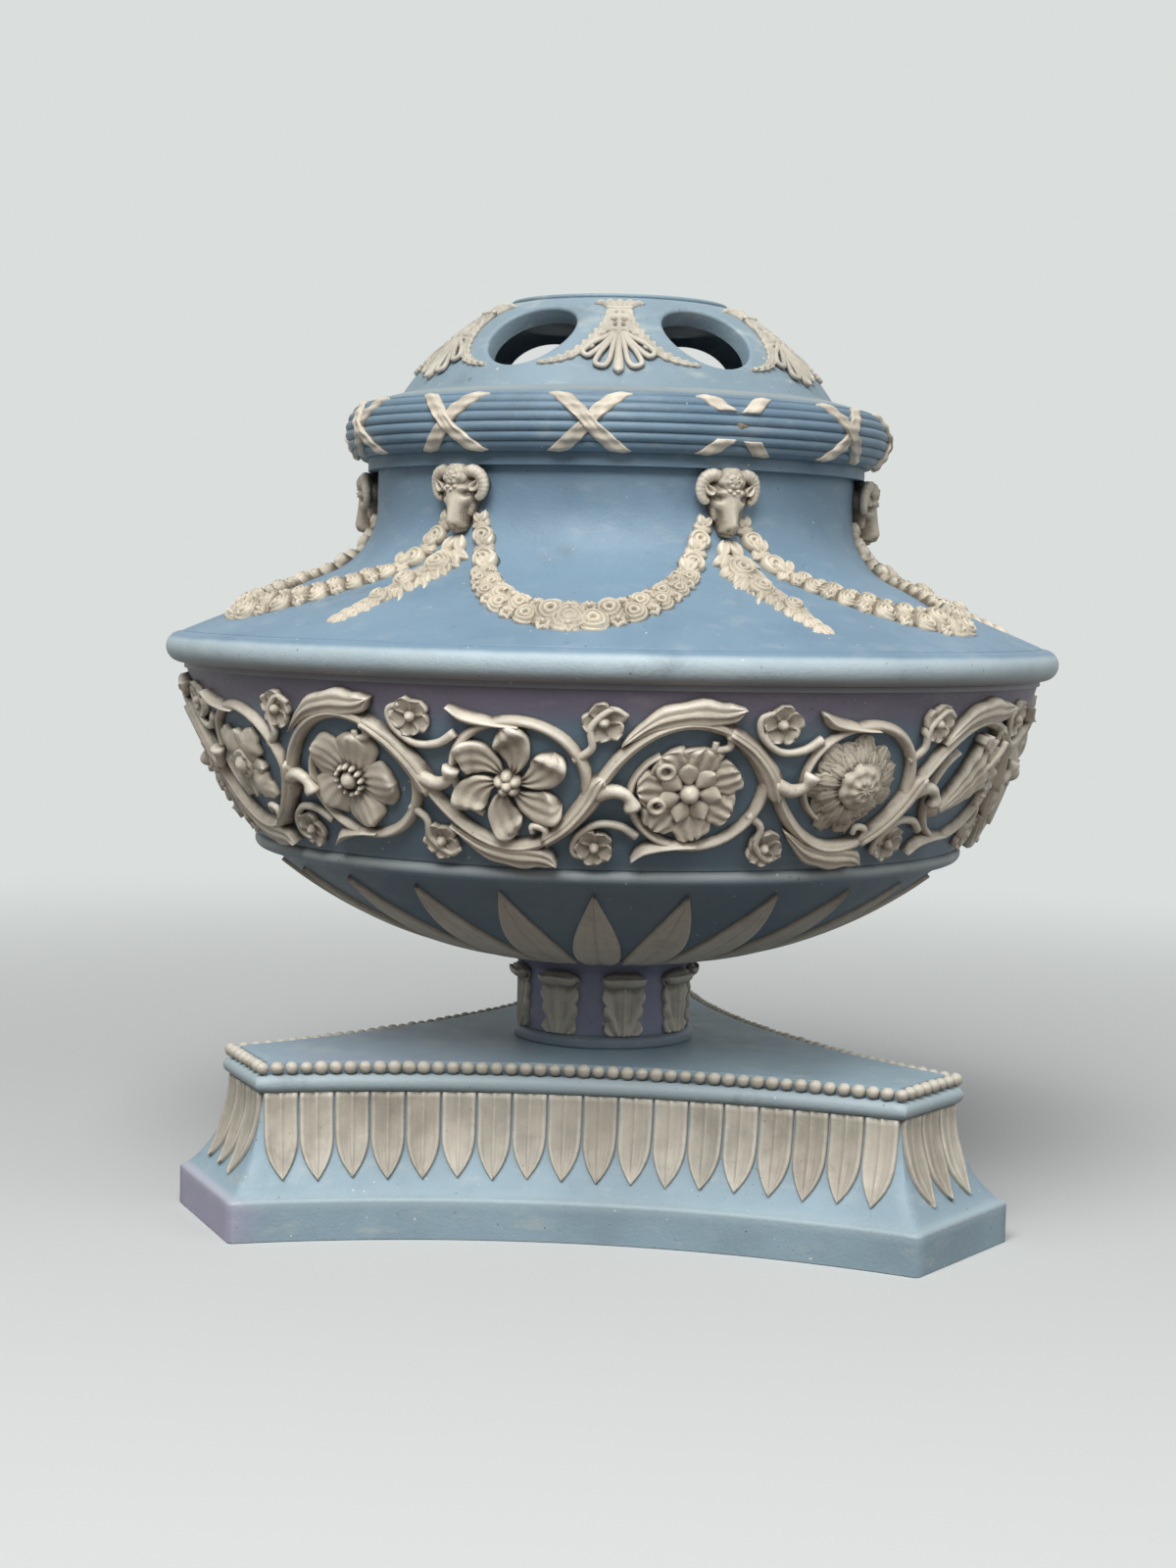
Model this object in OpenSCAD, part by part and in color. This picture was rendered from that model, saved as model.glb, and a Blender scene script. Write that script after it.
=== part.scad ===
// Potpourri vase: a round bowl on a short stem and a three-sided plinth, with a pierced cover that lifts off.
// The reliefs are moulded apart and laid on the surfaces, so each is a piece of its own.
// Millimetres, Z up, origin on the axis at table level. Azimuth 0 faces -Y and grows towards +X.

/* [Plinth] */
// Axis to the middle of a hollow side, at the slab
side_reach = 46.5; // [44:0.5:52]
// Radius of a hollow side, at the slab
side_radius = 215; // [190:1:260]
// Axis to a canted corner, at the slab
corner_reach = 95; // [90:0.5:100]
// Height of the plain block on the table
block_h = 10; // [7:0.5:14]
// How far the block stands out past the slab
block_out = 8.5; // [6:0.5:11]
// Rounding of the block's upper edge
block_round = 1.2; // [0.6:0.1:2]
// Height of the hollow moulding
cove_h = 23; // [18:0.5:28]
// Radius of the hollow moulding
cove_radius = 33; // [26:1:45]
// How far the hollow lies back under the slab
cove_back = 2; // [1:0.25:3]
// Thickness of the slab
slab_h = 4.2; // [3:0.1:6]
// Height of the platform above the slab
platform_h = 2.8; // [2:0.1:4]
// Wall of the plinth
plinth_wall = 8; // [6:0.5:11]
// Thickness of the plinth's top
deck_h = 9; // [6:0.5:14]
// Diameter of a bead
bead_d = 3.3; // [2.8:0.1:4.4]
// Least gap between beads
bead_gap = 0.12; // [0.1:0.02:2]
// Leaves on a hollow side
side_leaves = 18; // [12:1:20]
// Leaves on a canted corner
corner_leaves = 3; // [2:1:3]
// Width of a plinth leaf
plinth_leaf_w = 7.8; // [5:0.1:8]
// Length of a plinth leaf
plinth_leaf_l = 20; // [14:0.5:22]

/* [Stem] */
// Height of the stem
stem_h = 22.5; // [19:0.5:28]
// Radius of the stem's wall
stem_r = 20.5; // [17:0.5:22]
// Radius of the foot flange
stem_foot_r = 22.5; // [22:0.5:26]
// Thickness of the foot flange
stem_foot_h = 3; // [2:0.25:5]
// Radius of the flared top
stem_top_r = 25.5; // [23:0.5:28]
// Height of the flared top
stem_flare_h = 4.5; // [3:0.25:7]
// Leaves round the stem
stem_leaves = 8; // [6:1:10]
// Width of a stem leaf
stem_leaf_w = 11.2; // [8:0.2:12]
// Turn of the leaves round the stem, in degrees
stem_leaf_turn = 19; // [-22:0.5:22]
// Diameter of the clamping bolt
bolt_d = 6; // [5:0.5:8]

/* [Bowl] */
// Height of the lower bowl
lower_h = 25.5; // [22:0.5:30]
// Radius at the top of the lower bowl
lower_r = 84.5; // [80:0.5:86]
// Bulge radius of the lower bowl
lower_bulge = 110; // [90:1:150]
// Diameter of the ring moulding over the lower bowl
astragal_d = 3.2; // [2.4:0.1:4]
// Height of the frieze wall
frieze_h = 40; // [37:0.5:46]
// Radius at the foot of the frieze wall
frieze_foot_r = 87.2; // [86.5:0.1:90]
// Radius at the top of the frieze wall
frieze_top_r = 105; // [102:0.5:106]
// Bulge radius of the frieze wall
frieze_bulge = 157; // [120:1:220]
// Wall of the bowl and shoulder
bowl_wall = 6; // [4.5:0.25:7]
// Leaves under the bowl
bowl_leaves = 24; // [16:1:26]
// Width of a leaf under the bowl
bowl_leaf_w = 11; // [7:0.2:12]
// Axis to the tips of the leaves under the bowl
bowl_leaf_reach = 82; // [70:0.5:83]

/* [Shoulder] */
// Widest radius, at the rim
rim_r = 110; // [109:0.5:114]
// Thickness of the rounded rim
rim_d = 7.4; // [6:0.2:9]
// Slope of the shoulder in degrees
shoulder_slope = 22.5; // [19:0.5:26]
// Radius of the neck
neck_r = 59; // [57:0.5:61]
// Radius of the sweep from neck to shoulder
neck_sweep = 18; // [14:0.5:22]
// Straight height of the neck above the sweep
neck_h = 8.4; // [7.5:0.2:12]

/* [Collar] */
// Height of the collar
collar_h = 18.4; // [17:0.2:21]
// Widest radius of the collar
collar_r = 67.2; // [66.5:0.1:71]
// Radius of the collar's foot
collar_foot_r = 61.5; // [61.2:0.1:63]
// Height of the collar's foot
collar_foot_h = 3; // [2:0.25:4]
// Height of the sloping top
collar_top_h = 2.4; // [1.8:0.1:3]
// Radius of the reeded bulge
collar_bulge = 8; // [7.4:0.1:10]
// Reeds round the collar
reeds = 6; // [4:1:7]
// Ribbon crosses
crosses = 12; // [6:6:12]
// Width of a ribbon
ribbon_w = 3.5; // [2.5:0.1:4.5]
// Slant of a ribbon in degrees
ribbon_slant = 37; // [30:1:45]

/* [Cover] */
// Radius of the cover's foot
cover_r = 54; // [52.5:0.25:55]
// Height of the dome
dome_h = 22; // [19:0.5:26]
// Radius at the top of the dome
dome_top_r = 29; // [27.5:0.5:32]
// Bulge radius of the dome
dome_bulge = 60; // [45:1:90]
// Wall of the cover
cover_wall = 4.5; // [3.5:0.25:5.5]
// Diameter of a hole
hole_d = 22; // [16:0.5:23]
// Holes in the cover
holes = 6; // [4:1:6]
// Depth of the ring that locates the cover
spigot_h = 5; // [3:0.5:8]
// Clearance of the cover in its seat
cover_clear = 0.5; // [0.3:0.05:1]
// Turn of the loose cover in its seat, in degrees
cover_turn = 5.5; // [-30:0.5:30]

/* [Reliefs] */
// Thickness of the leaves
leaf_t = 0.9; // [0.6:0.1:1.2]
// Thickness of the ribbons and palmettes
ribbon_t = 1; // [0.6:0.1:1.4]
// Thickness of the vine
vine_t = 2; // [1.2:0.1:2.6]
// Width of the vine
vine_w = 3; // [2:0.1:3.4]
// Flowers round the frieze
flowers = 16; // [16:2:16]
// Radius of a flower
flower_r = 11; // [8:0.25:11.5]
// Turn of the frieze, in degrees
frieze_turn = 15.5; // [-22:0.5:22]
// Turn of the leaves under the bowl, in degrees
bowl_leaf_turn = 3.5; // [-15:0.5:15]
// Rams' heads, each with a drop, and swags between them
heads = 6; // [6:1:6]
// Thickness of a swag at its middle
swag_d = 8.4; // [6:0.2:10]
// Thickness of a swag at its ends
swag_end_d = 3.6; // [3.4:0.2:5]
// How far a swag hangs down from the top of the neck's sweep
swag_hang = 47; // [40:0.5:49]
// Width of a drop at its top
drop_d = 6; // [4:0.2:7]
// How far a drop reaches down from the top of the neck's sweep
drop_reach = 53; // [40:0.5:53]
// How far a drop leans to the side at its tip, in degrees
drop_lean = 4.5; // [0:0.5:6]

/* [Hidden] */
$fn = 64;
eps = 0.01;
steps = 6;

// Heights, from the table up
cove_z = block_h;
slab_z = cove_z + cove_h;
ledge_z = slab_z + slab_h;
stem_z = ledge_z + platform_h;
bowl_z = stem_z + stem_h;
astragal_z = bowl_z + lower_h;
frieze_z = astragal_z + astragal_d;
rim_z = frieze_z + frieze_h;
rim_fillet_h = 1.8;
rim_mid_z = rim_z + rim_fillet_h + rim_d / 2 - 0.5;
shoulder_z = rim_mid_z + rim_d / 2 + 0.7;
shoulder_r = rim_r - rim_d * 0.7;
sweep_r = neck_r + neck_sweep * (1 - sin(shoulder_slope));
sweep_z = shoulder_z + (shoulder_r - sweep_r) * tan(shoulder_slope) + neck_sweep * cos(shoulder_slope);
collar_z = sweep_z + neck_h;
collar_end_z = collar_z + collar_h;
seat_depth = 2;
seat_z = collar_end_z - seat_depth;
flange_h = 2.4;
dome_z = seat_z + flange_h;
dome_end_z = dome_z + dome_h;

// Plan of the plinth
side_centre = side_reach + side_radius;
bead_inset = bead_d / 2 + 0.2;
platform_inset = bead_inset + bead_d / 2;
blank_r = corner_reach + block_out + 12;
corner_cut_w = 110;
// Rise of the corner mouldings over the side mouldings where they meet in a mitre
mitre_step = 0.03;

// Clamping bolt
bolt_bore_r = bolt_d / 2 + 0.6;
washer_r = bolt_d * 1.8;
washer_h = 1.6;
bolt_head_r = bolt_d * 0.95;
bolt_head_h = bolt_d * 0.65;
nut_h = bolt_d * 0.85;
bolt_past_nut = 4;

// Key points of the round profiles, as radius and height
lower_from = [stem_top_r + 1, bowl_z];
lower_to = [lower_r, astragal_z];
wall_from = [frieze_foot_r, frieze_z];
wall_to = [frieze_top_r, rim_z];
dome_from = [cover_r - 0.6, dome_z];
dome_to = [dome_top_r, dome_end_z];
sweep_c = [neck_r + neck_sweep, sweep_z];
reed_c = [collar_r - collar_bulge, (collar_z + collar_foot_h + collar_end_z - collar_top_h) / 2];
reed_span = asin((collar_h - collar_foot_h - collar_top_h) / 2 / collar_bulge);
reed_r = (collar_bulge - 1.2) * sin(reed_span / reeds) * 1.17;
lip_r = dome_top_r - 2.3;
lip_h = 1.4;
lip_w = 1.8;

mouth_r = cover_r - 3;
spigot_r = mouth_r - cover_clear;
spigot_wall = 4;

// Centre of the circle of radius |r| through p and q: r > 0 bulges outward going up, r < 0 is hollow
function bow_centre(p, q, r) = let(d = norm(q - p), n = [p[1] - q[1], q[0] - p[0]] / d)
    (p + q) / 2 + sign(r) * sqrt(r * r - d * d / 4) * n;
function angle_of(v) = atan2(v[1], v[0]);
function wrap(a) = a > 180 ? a - 360 : a < -180 ? a + 360 : a;
function arc(c, r, from, sweep, n = steps) = [for (i = [0:n]) c + r * [cos(from + sweep * i / n), sin(from + sweep * i / n)]];
// Arc from p to q, moved outward by grow
function bow(p, q, r, grow = 0, n = steps) = let(c = bow_centre(p, q, r), a = angle_of(p - c), b = angle_of(q - c))
    arc(c, abs(r) + sign(r) * grow, a, wrap(b - a), n);
function tail(list) = [for (i = [1:len(list) - 1]) list[i]];
function reversed(list) = [for (i = [len(list) - 1:-1:0]) list[i]];
// Band of thickness t that lies on the arc from p to q
function skin(p, q, r, t, n = steps) = concat(bow(p, q, r, 0, n), reversed(bow(p, q, r, t, n)));

// Points down the shoulder: s runs along the surface from the top of the neck's sweep
sweep_turn = 90 - shoulder_slope;
sweep_len = neck_sweep * sweep_turn * PI / 180;
function down_shoulder(s) = s < 0 ? [neck_r, sweep_z - s]
    : s < sweep_len ? sweep_c + neck_sweep * [cos(180 + s / neck_sweep * 180 / PI), sin(180 + s / neck_sweep * 180 / PI)]
    : [sweep_r + (s - sweep_len) * cos(shoulder_slope), sweep_z - neck_sweep * cos(shoulder_slope) - (s - sweep_len) * sin(shoulder_slope)];

// Half angle of a hollow side, and half width of a canted corner, on the outline moved outward by u
function side_end(u) = 30 + asin((corner_reach + u - side_centre / 2) / (side_radius - u));
function corner_half(u) = (side_centre - (side_radius - u) * cos(side_end(u))) * sin(60) - (side_radius - u) * sin(side_end(u)) * cos(60);

// Outline of the plinth's moulding, as distance out from the slab's edge and height
function moulding() = concat(
    [[block_out, -1]],
    arc([block_out - block_round, block_h - block_round], block_round, 0, 90, 3),
    tail(bow([block_out - block_round, cove_z], [-cove_back, slab_z], -cove_radius, 0, 4)),
    arc([-slab_h / 2, slab_z + slab_h / 2], slab_h / 2, -90, 180, 6),
    [[-platform_inset, ledge_z], [-platform_inset, stem_z + 1]]);

module at_azimuth(a) { rotate([0, 0, a - 90]) children(); }
module ring(n, turn = 0) { for (k = [0:n - 1]) at_azimuth(turn + k * 360 / n) children(); }
// Prism that runs outward from x0 to x1, with its outline in the plane of tangent and height
module outward(x0, x1) { translate([x0, 0, 0]) rotate([90, 0, 90]) linear_extrude(height = x1 - x0) children(); }
// Pointed oval, by its length along y and its width
module lens(l, w) {
    n = 5;
    polygon([for (side = [1, -1]) for (i = [0:n - 1]) side * [w / 2 * sin(180 * i / n), l * (i / n - 0.5)]]);
}
// Leaf that hangs from the origin: straight sides, then a pointed end
module hanging_leaf(l, w) {
    tip = l * 0.45;
    edge = [for (i = [0:3]) [w / 2 * (1 - pow(i / 3, 2)), tip - l - tip * i / 3]];
    polygon(concat([[-w / 2, 1], [w / 2, 1]], edge, [for (i = [2:-1:0]) [-edge[i][0], edge[i][1]]]));
}

// Plinth: a blank that is cut back side by side and corner by corner
module side_cut(k) { at_azimuth(120 * k) translate([side_centre, 0, 0]) children(); }
module corner_cut(k) { at_azimuth(60 + 120 * k) children(); }
module plinth_body() {
    side = concat([[0, -1]], [for (p = moulding()) [side_radius - p[0], p[1]]], [[0, stem_z + 1]]);
    corner = concat([[blank_r + 1, -1]], [for (p = moulding()) [corner_reach + p[0], p[1] + mitre_step]],
        [[blank_r + 1, stem_z + 1]]);
    difference() {
        difference() {
            difference() {
                cylinder(r = blank_r, h = stem_z);
                side_cut(0) rotate_extrude() polygon(side);
            }
            side_cut(1) rotate_extrude() polygon(side);
        }
        side_cut(2) rotate_extrude() polygon(side);
        for (k = [0:2]) corner_cut(k) rotate([90, 0, 0]) linear_extrude(height = corner_cut_w, center = true) polygon(corner);
    }
}
module plinth_hollow(u, z0, z1) {
    difference() {
        translate([0, 0, z0]) cylinder(r = blank_r, h = z1 - z0);
        for (k = [0:2]) side_cut(k) translate([0, 0, z0 - 1]) cylinder(r = side_radius - u, h = z1 - z0 + 2);
        for (k = [0:2]) corner_cut(k) translate([corner_reach + u, -blank_r, z0 - 1]) cube([blank_r, 2 * blank_r, z1 - z0 + 2]);
    }
}
module plinth() {
    color([0.56, 0.67, 0.74]) difference() {
        plinth_body();
        plinth_hollow(-plinth_wall, -1, stem_z - deck_h);
        translate([0, 0, -1]) cylinder(r = bolt_bore_r, h = stem_z + 2);
    }
}
module plinth_beads() {
    z = ledge_z + bead_d / 2;
    r = side_radius + bead_inset;
    end = side_end(-bead_inset);
    count = floor(2 * end * PI / 180 * r / (bead_d + bead_gap));
    half = corner_half(-bead_inset);
    corner_count = floor(2 * half / (bead_d + bead_gap));
    color([0.80, 0.76, 0.70]) {
        ring(3) for (i = [0:count]) translate([side_centre, 0, z]) rotate([0, 0, end * (2 * i / count - 1)])
            translate([-r, 0, 0]) sphere(d = bead_d);
        ring(3, 60) for (i = [1:corner_count - 1])
            translate([corner_reach - bead_inset, half * (2 * i / corner_count - 1), z + mitre_step]) sphere(d = bead_d);
    }
}
module plinth_leaves() {
    cove_from = [block_out - block_round, cove_z];
    cove_to = [-cove_back, slab_z];
    band = skin(cove_from, cove_to, -cove_radius, leaf_t, 4);
    side_band = [for (p = band) [side_radius - p[0], p[1]]];
    corner_band = [for (p = band) [corner_reach + p[0], p[1] + mitre_step]];
    pitch = 2 * side_end(-cove_back) / side_leaves;
    half = corner_half(-cove_back);
    corner_pitch = 2 * half / corner_leaves;
    color([0.74, 0.71, 0.66]) {
        ring(3) translate([side_centre, 0, 0]) for (i = [0:side_leaves - 1])
            rotate([0, 0, 180 + pitch * (i + 0.5 - side_leaves / 2)]) intersection() {
                rotate([0, 0, -pitch]) rotate_extrude(angle = 2 * pitch) polygon(side_band);
                translate([0, 0, slab_z]) outward(side_radius - block_out - 5, side_radius + cove_back + 5)
                    hanging_leaf(plinth_leaf_l, plinth_leaf_w);
            }
        ring(3, 60) for (i = [0:corner_leaves - 1])
            translate([0, corner_pitch * (i + 0.5 - corner_leaves / 2), 0]) intersection() {
                rotate([90, 0, 0]) linear_extrude(height = 2 * plinth_leaf_w, center = true) polygon(corner_band);
                translate([0, 0, slab_z]) outward(corner_reach - cove_back - 5, corner_reach + block_out + 5)
                    hanging_leaf(plinth_leaf_l, min(plinth_leaf_w, corner_pitch - 0.6));
            }
    }
}

// Stem
module stem_solid() {
    flare_z = bowl_z - stem_flare_h;
    rotate_extrude() polygon(concat(
        [[0, stem_z], [stem_foot_r - 0.5, stem_z], [stem_foot_r, stem_z + 0.5]],
        arc([stem_foot_r - stem_foot_h / 2, stem_z + stem_foot_h / 2], stem_foot_h / 2, 0, 90, 4),
        [[stem_r, stem_z + stem_foot_h]],
        bow([stem_r, flare_z], [stem_top_r, bowl_z - 1], -7, 0, 5),
        [[stem_top_r, bowl_z], [0, bowl_z]]));
}
module stem() {
    color([0.60, 0.63, 0.76]) difference() {
        stem_solid();
        translate([0, 0, stem_z - 1]) cylinder(r = bolt_bore_r, h = stem_h + 2);
    }
}
// Acanthus outline, standing on the origin: three lobes a side, narrowing upwards
module acanthus(l, w) {
    edge = [for (i = [0:6]) [w * (0.5 - 0.02 * i) * (i % 2 == 0 ? 0.66 : 1), l * 0.86 * i / 6]];
    polygon(concat(edge, reversed([for (p = edge) [-p[0], p[1]]])));
}
module stem_leaves() {
    l = stem_h - stem_foot_h - stem_flare_h - 0.5;
    z = stem_z + stem_foot_h;
    color([0.78, 0.74, 0.68]) difference() {
        ring(stem_leaves, stem_leaf_turn) {
            intersection() {
                translate([0, 0, z]) difference() {
                    cylinder(r = stem_r + leaf_t + 0.3, h = l);
                    translate([0, 0, -1]) cylinder(r = stem_r, h = l + 2);
                }
                translate([0, 0, z]) outward(stem_r * 0.8, stem_top_r + 2) acanthus(l, stem_leaf_w);
            }
            translate([stem_r, 0, z + l - 0.6]) rotate([90, 0, 0]) cylinder(r = 2.4, h = stem_leaf_w * 0.62, center = true);
        }
        stem_solid();
    }
}

// Bowl
module bowl_solid() {
    rotate_extrude() union() {
        polygon(concat([[0, bowl_z]], bow(lower_from, lower_to, lower_bulge),
            bow(wall_from, wall_to, frieze_bulge), [[0, rim_z]]));
        translate([frieze_foot_r - astragal_d / 2, astragal_z + astragal_d / 2]) circle(d = astragal_d);
    }
}
module bowl() {
    inner = concat(bow(lower_from, lower_to, lower_bulge, -bowl_wall), bow(wall_from, wall_to, frieze_bulge, -bowl_wall));
    floor_z = inner[0][1];
    color([0.50, 0.63, 0.73]) difference() {
        bowl_solid();
        rotate_extrude() polygon(concat([[0, floor_z]], inner, [[0, inner[len(inner) - 1][1]]]));
        translate([0, 0, bowl_z - 1]) cylinder(r = bolt_bore_r, h = bowl_wall + 3);
    }
}
module bowl_leaves() {
    l = 2 * (bowl_leaf_reach - lower_from[0]) * 0.55;
    color([0.72, 0.69, 0.64]) intersection() {
        rotate_extrude() polygon(skin(lower_from, lower_to, lower_bulge, leaf_t));
        union() ring(bowl_leaves, bowl_leaf_turn) translate([bowl_leaf_reach - l / 2, 0, bowl_z - 5]) rotate([0, 0, 90])
            linear_extrude(height = lower_h + 10) lens(l, bowl_leaf_w);
    }
}

// Frieze
cell_half = (frieze_foot_r + frieze_top_r) / 2 * tan(180 / flowers);
frieze_mid_z = frieze_z + frieze_h / 2;
wave_h = frieze_h * 0.385;
wave_r = (cell_half * cell_half + wave_h * wave_h) / (2 * wave_h);
// Band of width w along an arc
module arc_band(c, r, from, sweep, w, n = 10) {
    start = min(from, from + sweep);
    polygon(concat(arc(c, r + w / 2, start, abs(sweep), n), reversed(arc(c, r - w / 2, start, abs(sweep), n))));
}
// One cell of the vine: an arch over the flower and a branch that curls under it
module vine_cell() {
    foot = asin(1 - wave_h / wave_r);
    arc_band([0, wave_h - wave_r], wave_r, foot, 180 - 2 * foot, vine_w);
    branch_w = vine_w * 0.66;
    arc_band([cell_half * 0.13, -1], cell_half * 0.84, 10, -190, branch_w);
    translate([-cell_half * 0.71, 0]) circle(branch_w, $fn = 8);
}
// Sheath leaves over the joints at both ends of a cell
module sheaths() {
    for (side = [-1, 1]) translate([side * cell_half, 0]) rotate(14) lens(frieze_h * 0.34, vine_w * 1.7);
}
module on_frieze(t) {
    intersection() {
        rotate_extrude() polygon(skin(wall_from, wall_to, frieze_bulge, t));
        children();
    }
}
module frieze_vine() {
    color([0.80, 0.76, 0.70]) on_frieze(vine_t) union()
        for (k = [0:flowers - 1]) at_azimuth(frieze_turn + k * 360 / flowers) translate([0, 0, frieze_mid_z])
            outward(frieze_foot_r - 10, rim_r + 5) {
                mirror([0, k % 2, 0]) vine_cell();
                if (k % 2 == 0) sheaths();
            }
}
module flower(r, petals) {
    notch = [1, 0.92, 0.6, 0.92];
    polygon([for (i = [0:4 * petals - 1]) let(a = 90 + 90 / petals * i) r * notch[i % 4] * [cos(a), sin(a)]]);
}
// Each flower has two tiers of petals and a boss, as radius and thickness
flower_tiers = [[flower_r, vine_t], [flower_r * 0.62, vine_t * 1.35], [flower_r * 0.28, vine_t * 1.8]];
module frieze_flowers() {
    color([0.82, 0.78, 0.72]) for (tier = flower_tiers) on_frieze(tier[1])
        ring(flowers, frieze_turn) translate([0, 0, frieze_mid_z]) outward(frieze_foot_r - 10, rim_r + 5)
            flower(tier[0], 6);
}
module frieze_florets() {
    x = cell_half * 0.95;
    z = frieze_h * 0.375;
    color([0.82, 0.78, 0.72]) on_frieze(vine_t * 0.8) union()
        for (k = [0:flowers - 1]) at_azimuth(frieze_turn + k * 360 / flowers) translate([0, 0, frieze_mid_z])
            outward(frieze_foot_r - 10, rim_r + 5) rotate(k % 2 == 0 ? 0 : 180) {
                translate([x, z]) flower(frieze_h * 0.085, 5);
                translate([-x, z]) flower(frieze_h * 0.085, 5);
            }
}

// Shoulder and neck
module shoulder_solid() {
    rotate_extrude() union() {
        polygon(concat(
            [[0, rim_z], [frieze_top_r + 0.6, rim_z], [frieze_top_r + 0.6, rim_z + rim_fillet_h],
             [rim_r - rim_d / 2, rim_mid_z - rim_d * 0.3], [rim_r - rim_d / 2, rim_mid_z + rim_d * 0.3],
             [shoulder_r + 1, shoulder_z - 0.6], [shoulder_r, shoulder_z]],
            reversed(arc(sweep_c, neck_sweep, 180, sweep_turn)),
            [[neck_r, collar_z], [0, collar_z]]));
        translate([rim_r - rim_d / 2, rim_mid_z]) circle(d = rim_d);
    }
}
module shoulder() {
    inner_r = neck_sweep + bowl_wall;
    low = sweep_c + inner_r * [-sin(shoulder_slope), -cos(shoulder_slope)];
    edge_r = frieze_top_r - bowl_wall;
    edge_z = low[1] - (edge_r - low[0]) * tan(shoulder_slope);
    color([0.52, 0.65, 0.78]) difference() {
        shoulder_solid();
        rotate_extrude() polygon(concat(
            [[0, rim_z - 1], [edge_r, rim_z - 1], [edge_r, edge_z]],
            reversed(arc(sweep_c, inner_r, 180, sweep_turn)),
            [[neck_r - bowl_wall, collar_z + 1], [0, collar_z + 1]]));
    }
}

// Rams' heads, swags and drops
head_z = collar_z - 6.4;
skull = [1.6, 0, 1.2];
skull_d = 9.6;
muzzle = [5.6, 0, -8.4];
muzzle_d = 5;
horn_y = 5.6;
horn_r = 2.5;
horn_d = 3.2;
horn_x = 2.2;
module ram_head(k) {
    face = muzzle - skull;
    color([0.76, 0.71, 0.64]) at_azimuth(180 / heads + k * 360 / heads) translate([neck_r, 0, head_z]) intersection() {
        union() {
            translate(skull) sphere(d = skull_d);
            translate(skull) rotate([0, 90 - angle_of([face[0], face[2]]), 0])
                cylinder(h = norm(face), d1 = skull_d * 0.7, d2 = muzzle_d * 0.8);
            translate(muzzle) sphere(d = muzzle_d);
            for (side = [-1, 1]) for (i = [0:4]) let(a = 45 + 62 * i)
                translate([horn_x + 0.2 * i, side * (horn_y - horn_r * cos(a)), 1 + horn_r * sin(a)]) sphere(d = horn_d * (1 - 0.04 * i));
        }
        translate([0, -20, -20]) cube(40);
    }
}
// Path of a swag: u runs from its middle to an end, which lies beside the face and under the horn
swag_half = 180 / heads - (skull_d * 0.35 + swag_end_d / 2 + 0.6) / neck_r * 180 / PI;
swag_top = 3.5;
function swag_s(u) = swag_hang - (swag_hang - swag_top) * (1.25 * u * u - 0.25 * pow(u, 4));
function swag_bud(u) = swag_end_d + (swag_d - swag_end_d) * pow(1 - u, 0.7);
// Step to the next bud of a swag, so that each overlaps its neighbour by a fifth
function swag_step(u) = 0.8 * swag_bud(u)
    / norm([(swag_hang - swag_top) * (2.5 * u - pow(u, 3)), down_shoulder(swag_s(u))[0] * swag_half * PI / 180]);
function swag_row(u) = u > 0.99 ? [] : concat([u], swag_row(u + swag_step(u)));
module bud(s, d) {
    p = down_shoulder(s);
    translate([p[0], 0, p[1]]) sphere(d = d);
}
module swag(k) {
    row = swag_row(0);
    color([0.80, 0.75, 0.69]) difference() {
        at_azimuth(k * 360 / heads) for (side = [-1, 1]) for (i = [side > 0 ? 0 : 1:len(row) - 1])
            rotate([0, 0, side * swag_half * row[i]]) bud(swag_s(row[i]), swag_bud(row[i]));
        shoulder_solid();
    }
}
module drop(k) {
    start = 14;
    n = 9;
    lean = (k % 2 == 0 ? 1 : -1) * drop_lean;
    color([0.80, 0.75, 0.69]) difference() {
        at_azimuth(180 / heads + k * 360 / heads) for (i = [0:n]) rotate([0, 0, lean * i / n])
            bud(start + (drop_reach - start) * i / n, drop_d * (1 - 0.24 * i / n));
        shoulder_solid();
    }
}

// Reeded collar with its ribbons
module collar_solid() {
    reed_step = 2 * reed_span / reeds;
    corner_z = collar_end_z - collar_top_h;
    core = collar_bulge - reed_r - 0.2;
    rotate_extrude() union() {
        polygon(concat(
            [[mouth_r - 5, collar_z], [collar_foot_r, collar_z], [collar_foot_r, collar_z + collar_foot_h],
             [reed_c[0] + core * cos(reed_span), collar_z + collar_foot_h]],
            arc(reed_c, core, -reed_span, 2 * reed_span),
            [[reed_c[0] + collar_bulge * cos(reed_span) - 0.4, corner_z], [cover_r + cover_clear, collar_end_z], [mouth_r - 5, collar_end_z]]));
        for (i = [0:reeds - 1]) let(a = reed_step * (i + 0.5) - reed_span)
            translate(reed_c + (collar_bulge - reed_r) * [cos(a), sin(a)]) circle(r = reed_r);
    }
}
module collar() {
    color([0.47, 0.61, 0.75]) difference() {
        collar_solid();
        translate([0, 0, collar_z - 1]) cylinder(r = mouth_r, h = collar_h + 2);
        translate([0, 0, seat_z]) cylinder(r = cover_r + cover_clear, h = seat_depth + 1);
    }
}
module ribbon_cross(k) {
    foot_z = collar_z + collar_foot_h;
    h = collar_h - collar_foot_h - collar_top_h;
    color([0.79, 0.76, 0.71]) difference() {
        intersection() {
            rotate_extrude() translate(reed_c) intersection() {
                circle(collar_bulge + ribbon_t);
                translate([collar_bulge * 0.3, -h / 2]) square([collar_bulge + 2, h]);
            }
            at_azimuth(k * 360 / crosses) translate([0, 0, foot_z + h / 2]) outward(reed_c[0], collar_r + 5)
                for (side = [-1, 1]) rotate(side * ribbon_slant) square([h * 4, ribbon_w], center = true);
        }
        collar_solid();
    }
}

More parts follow.
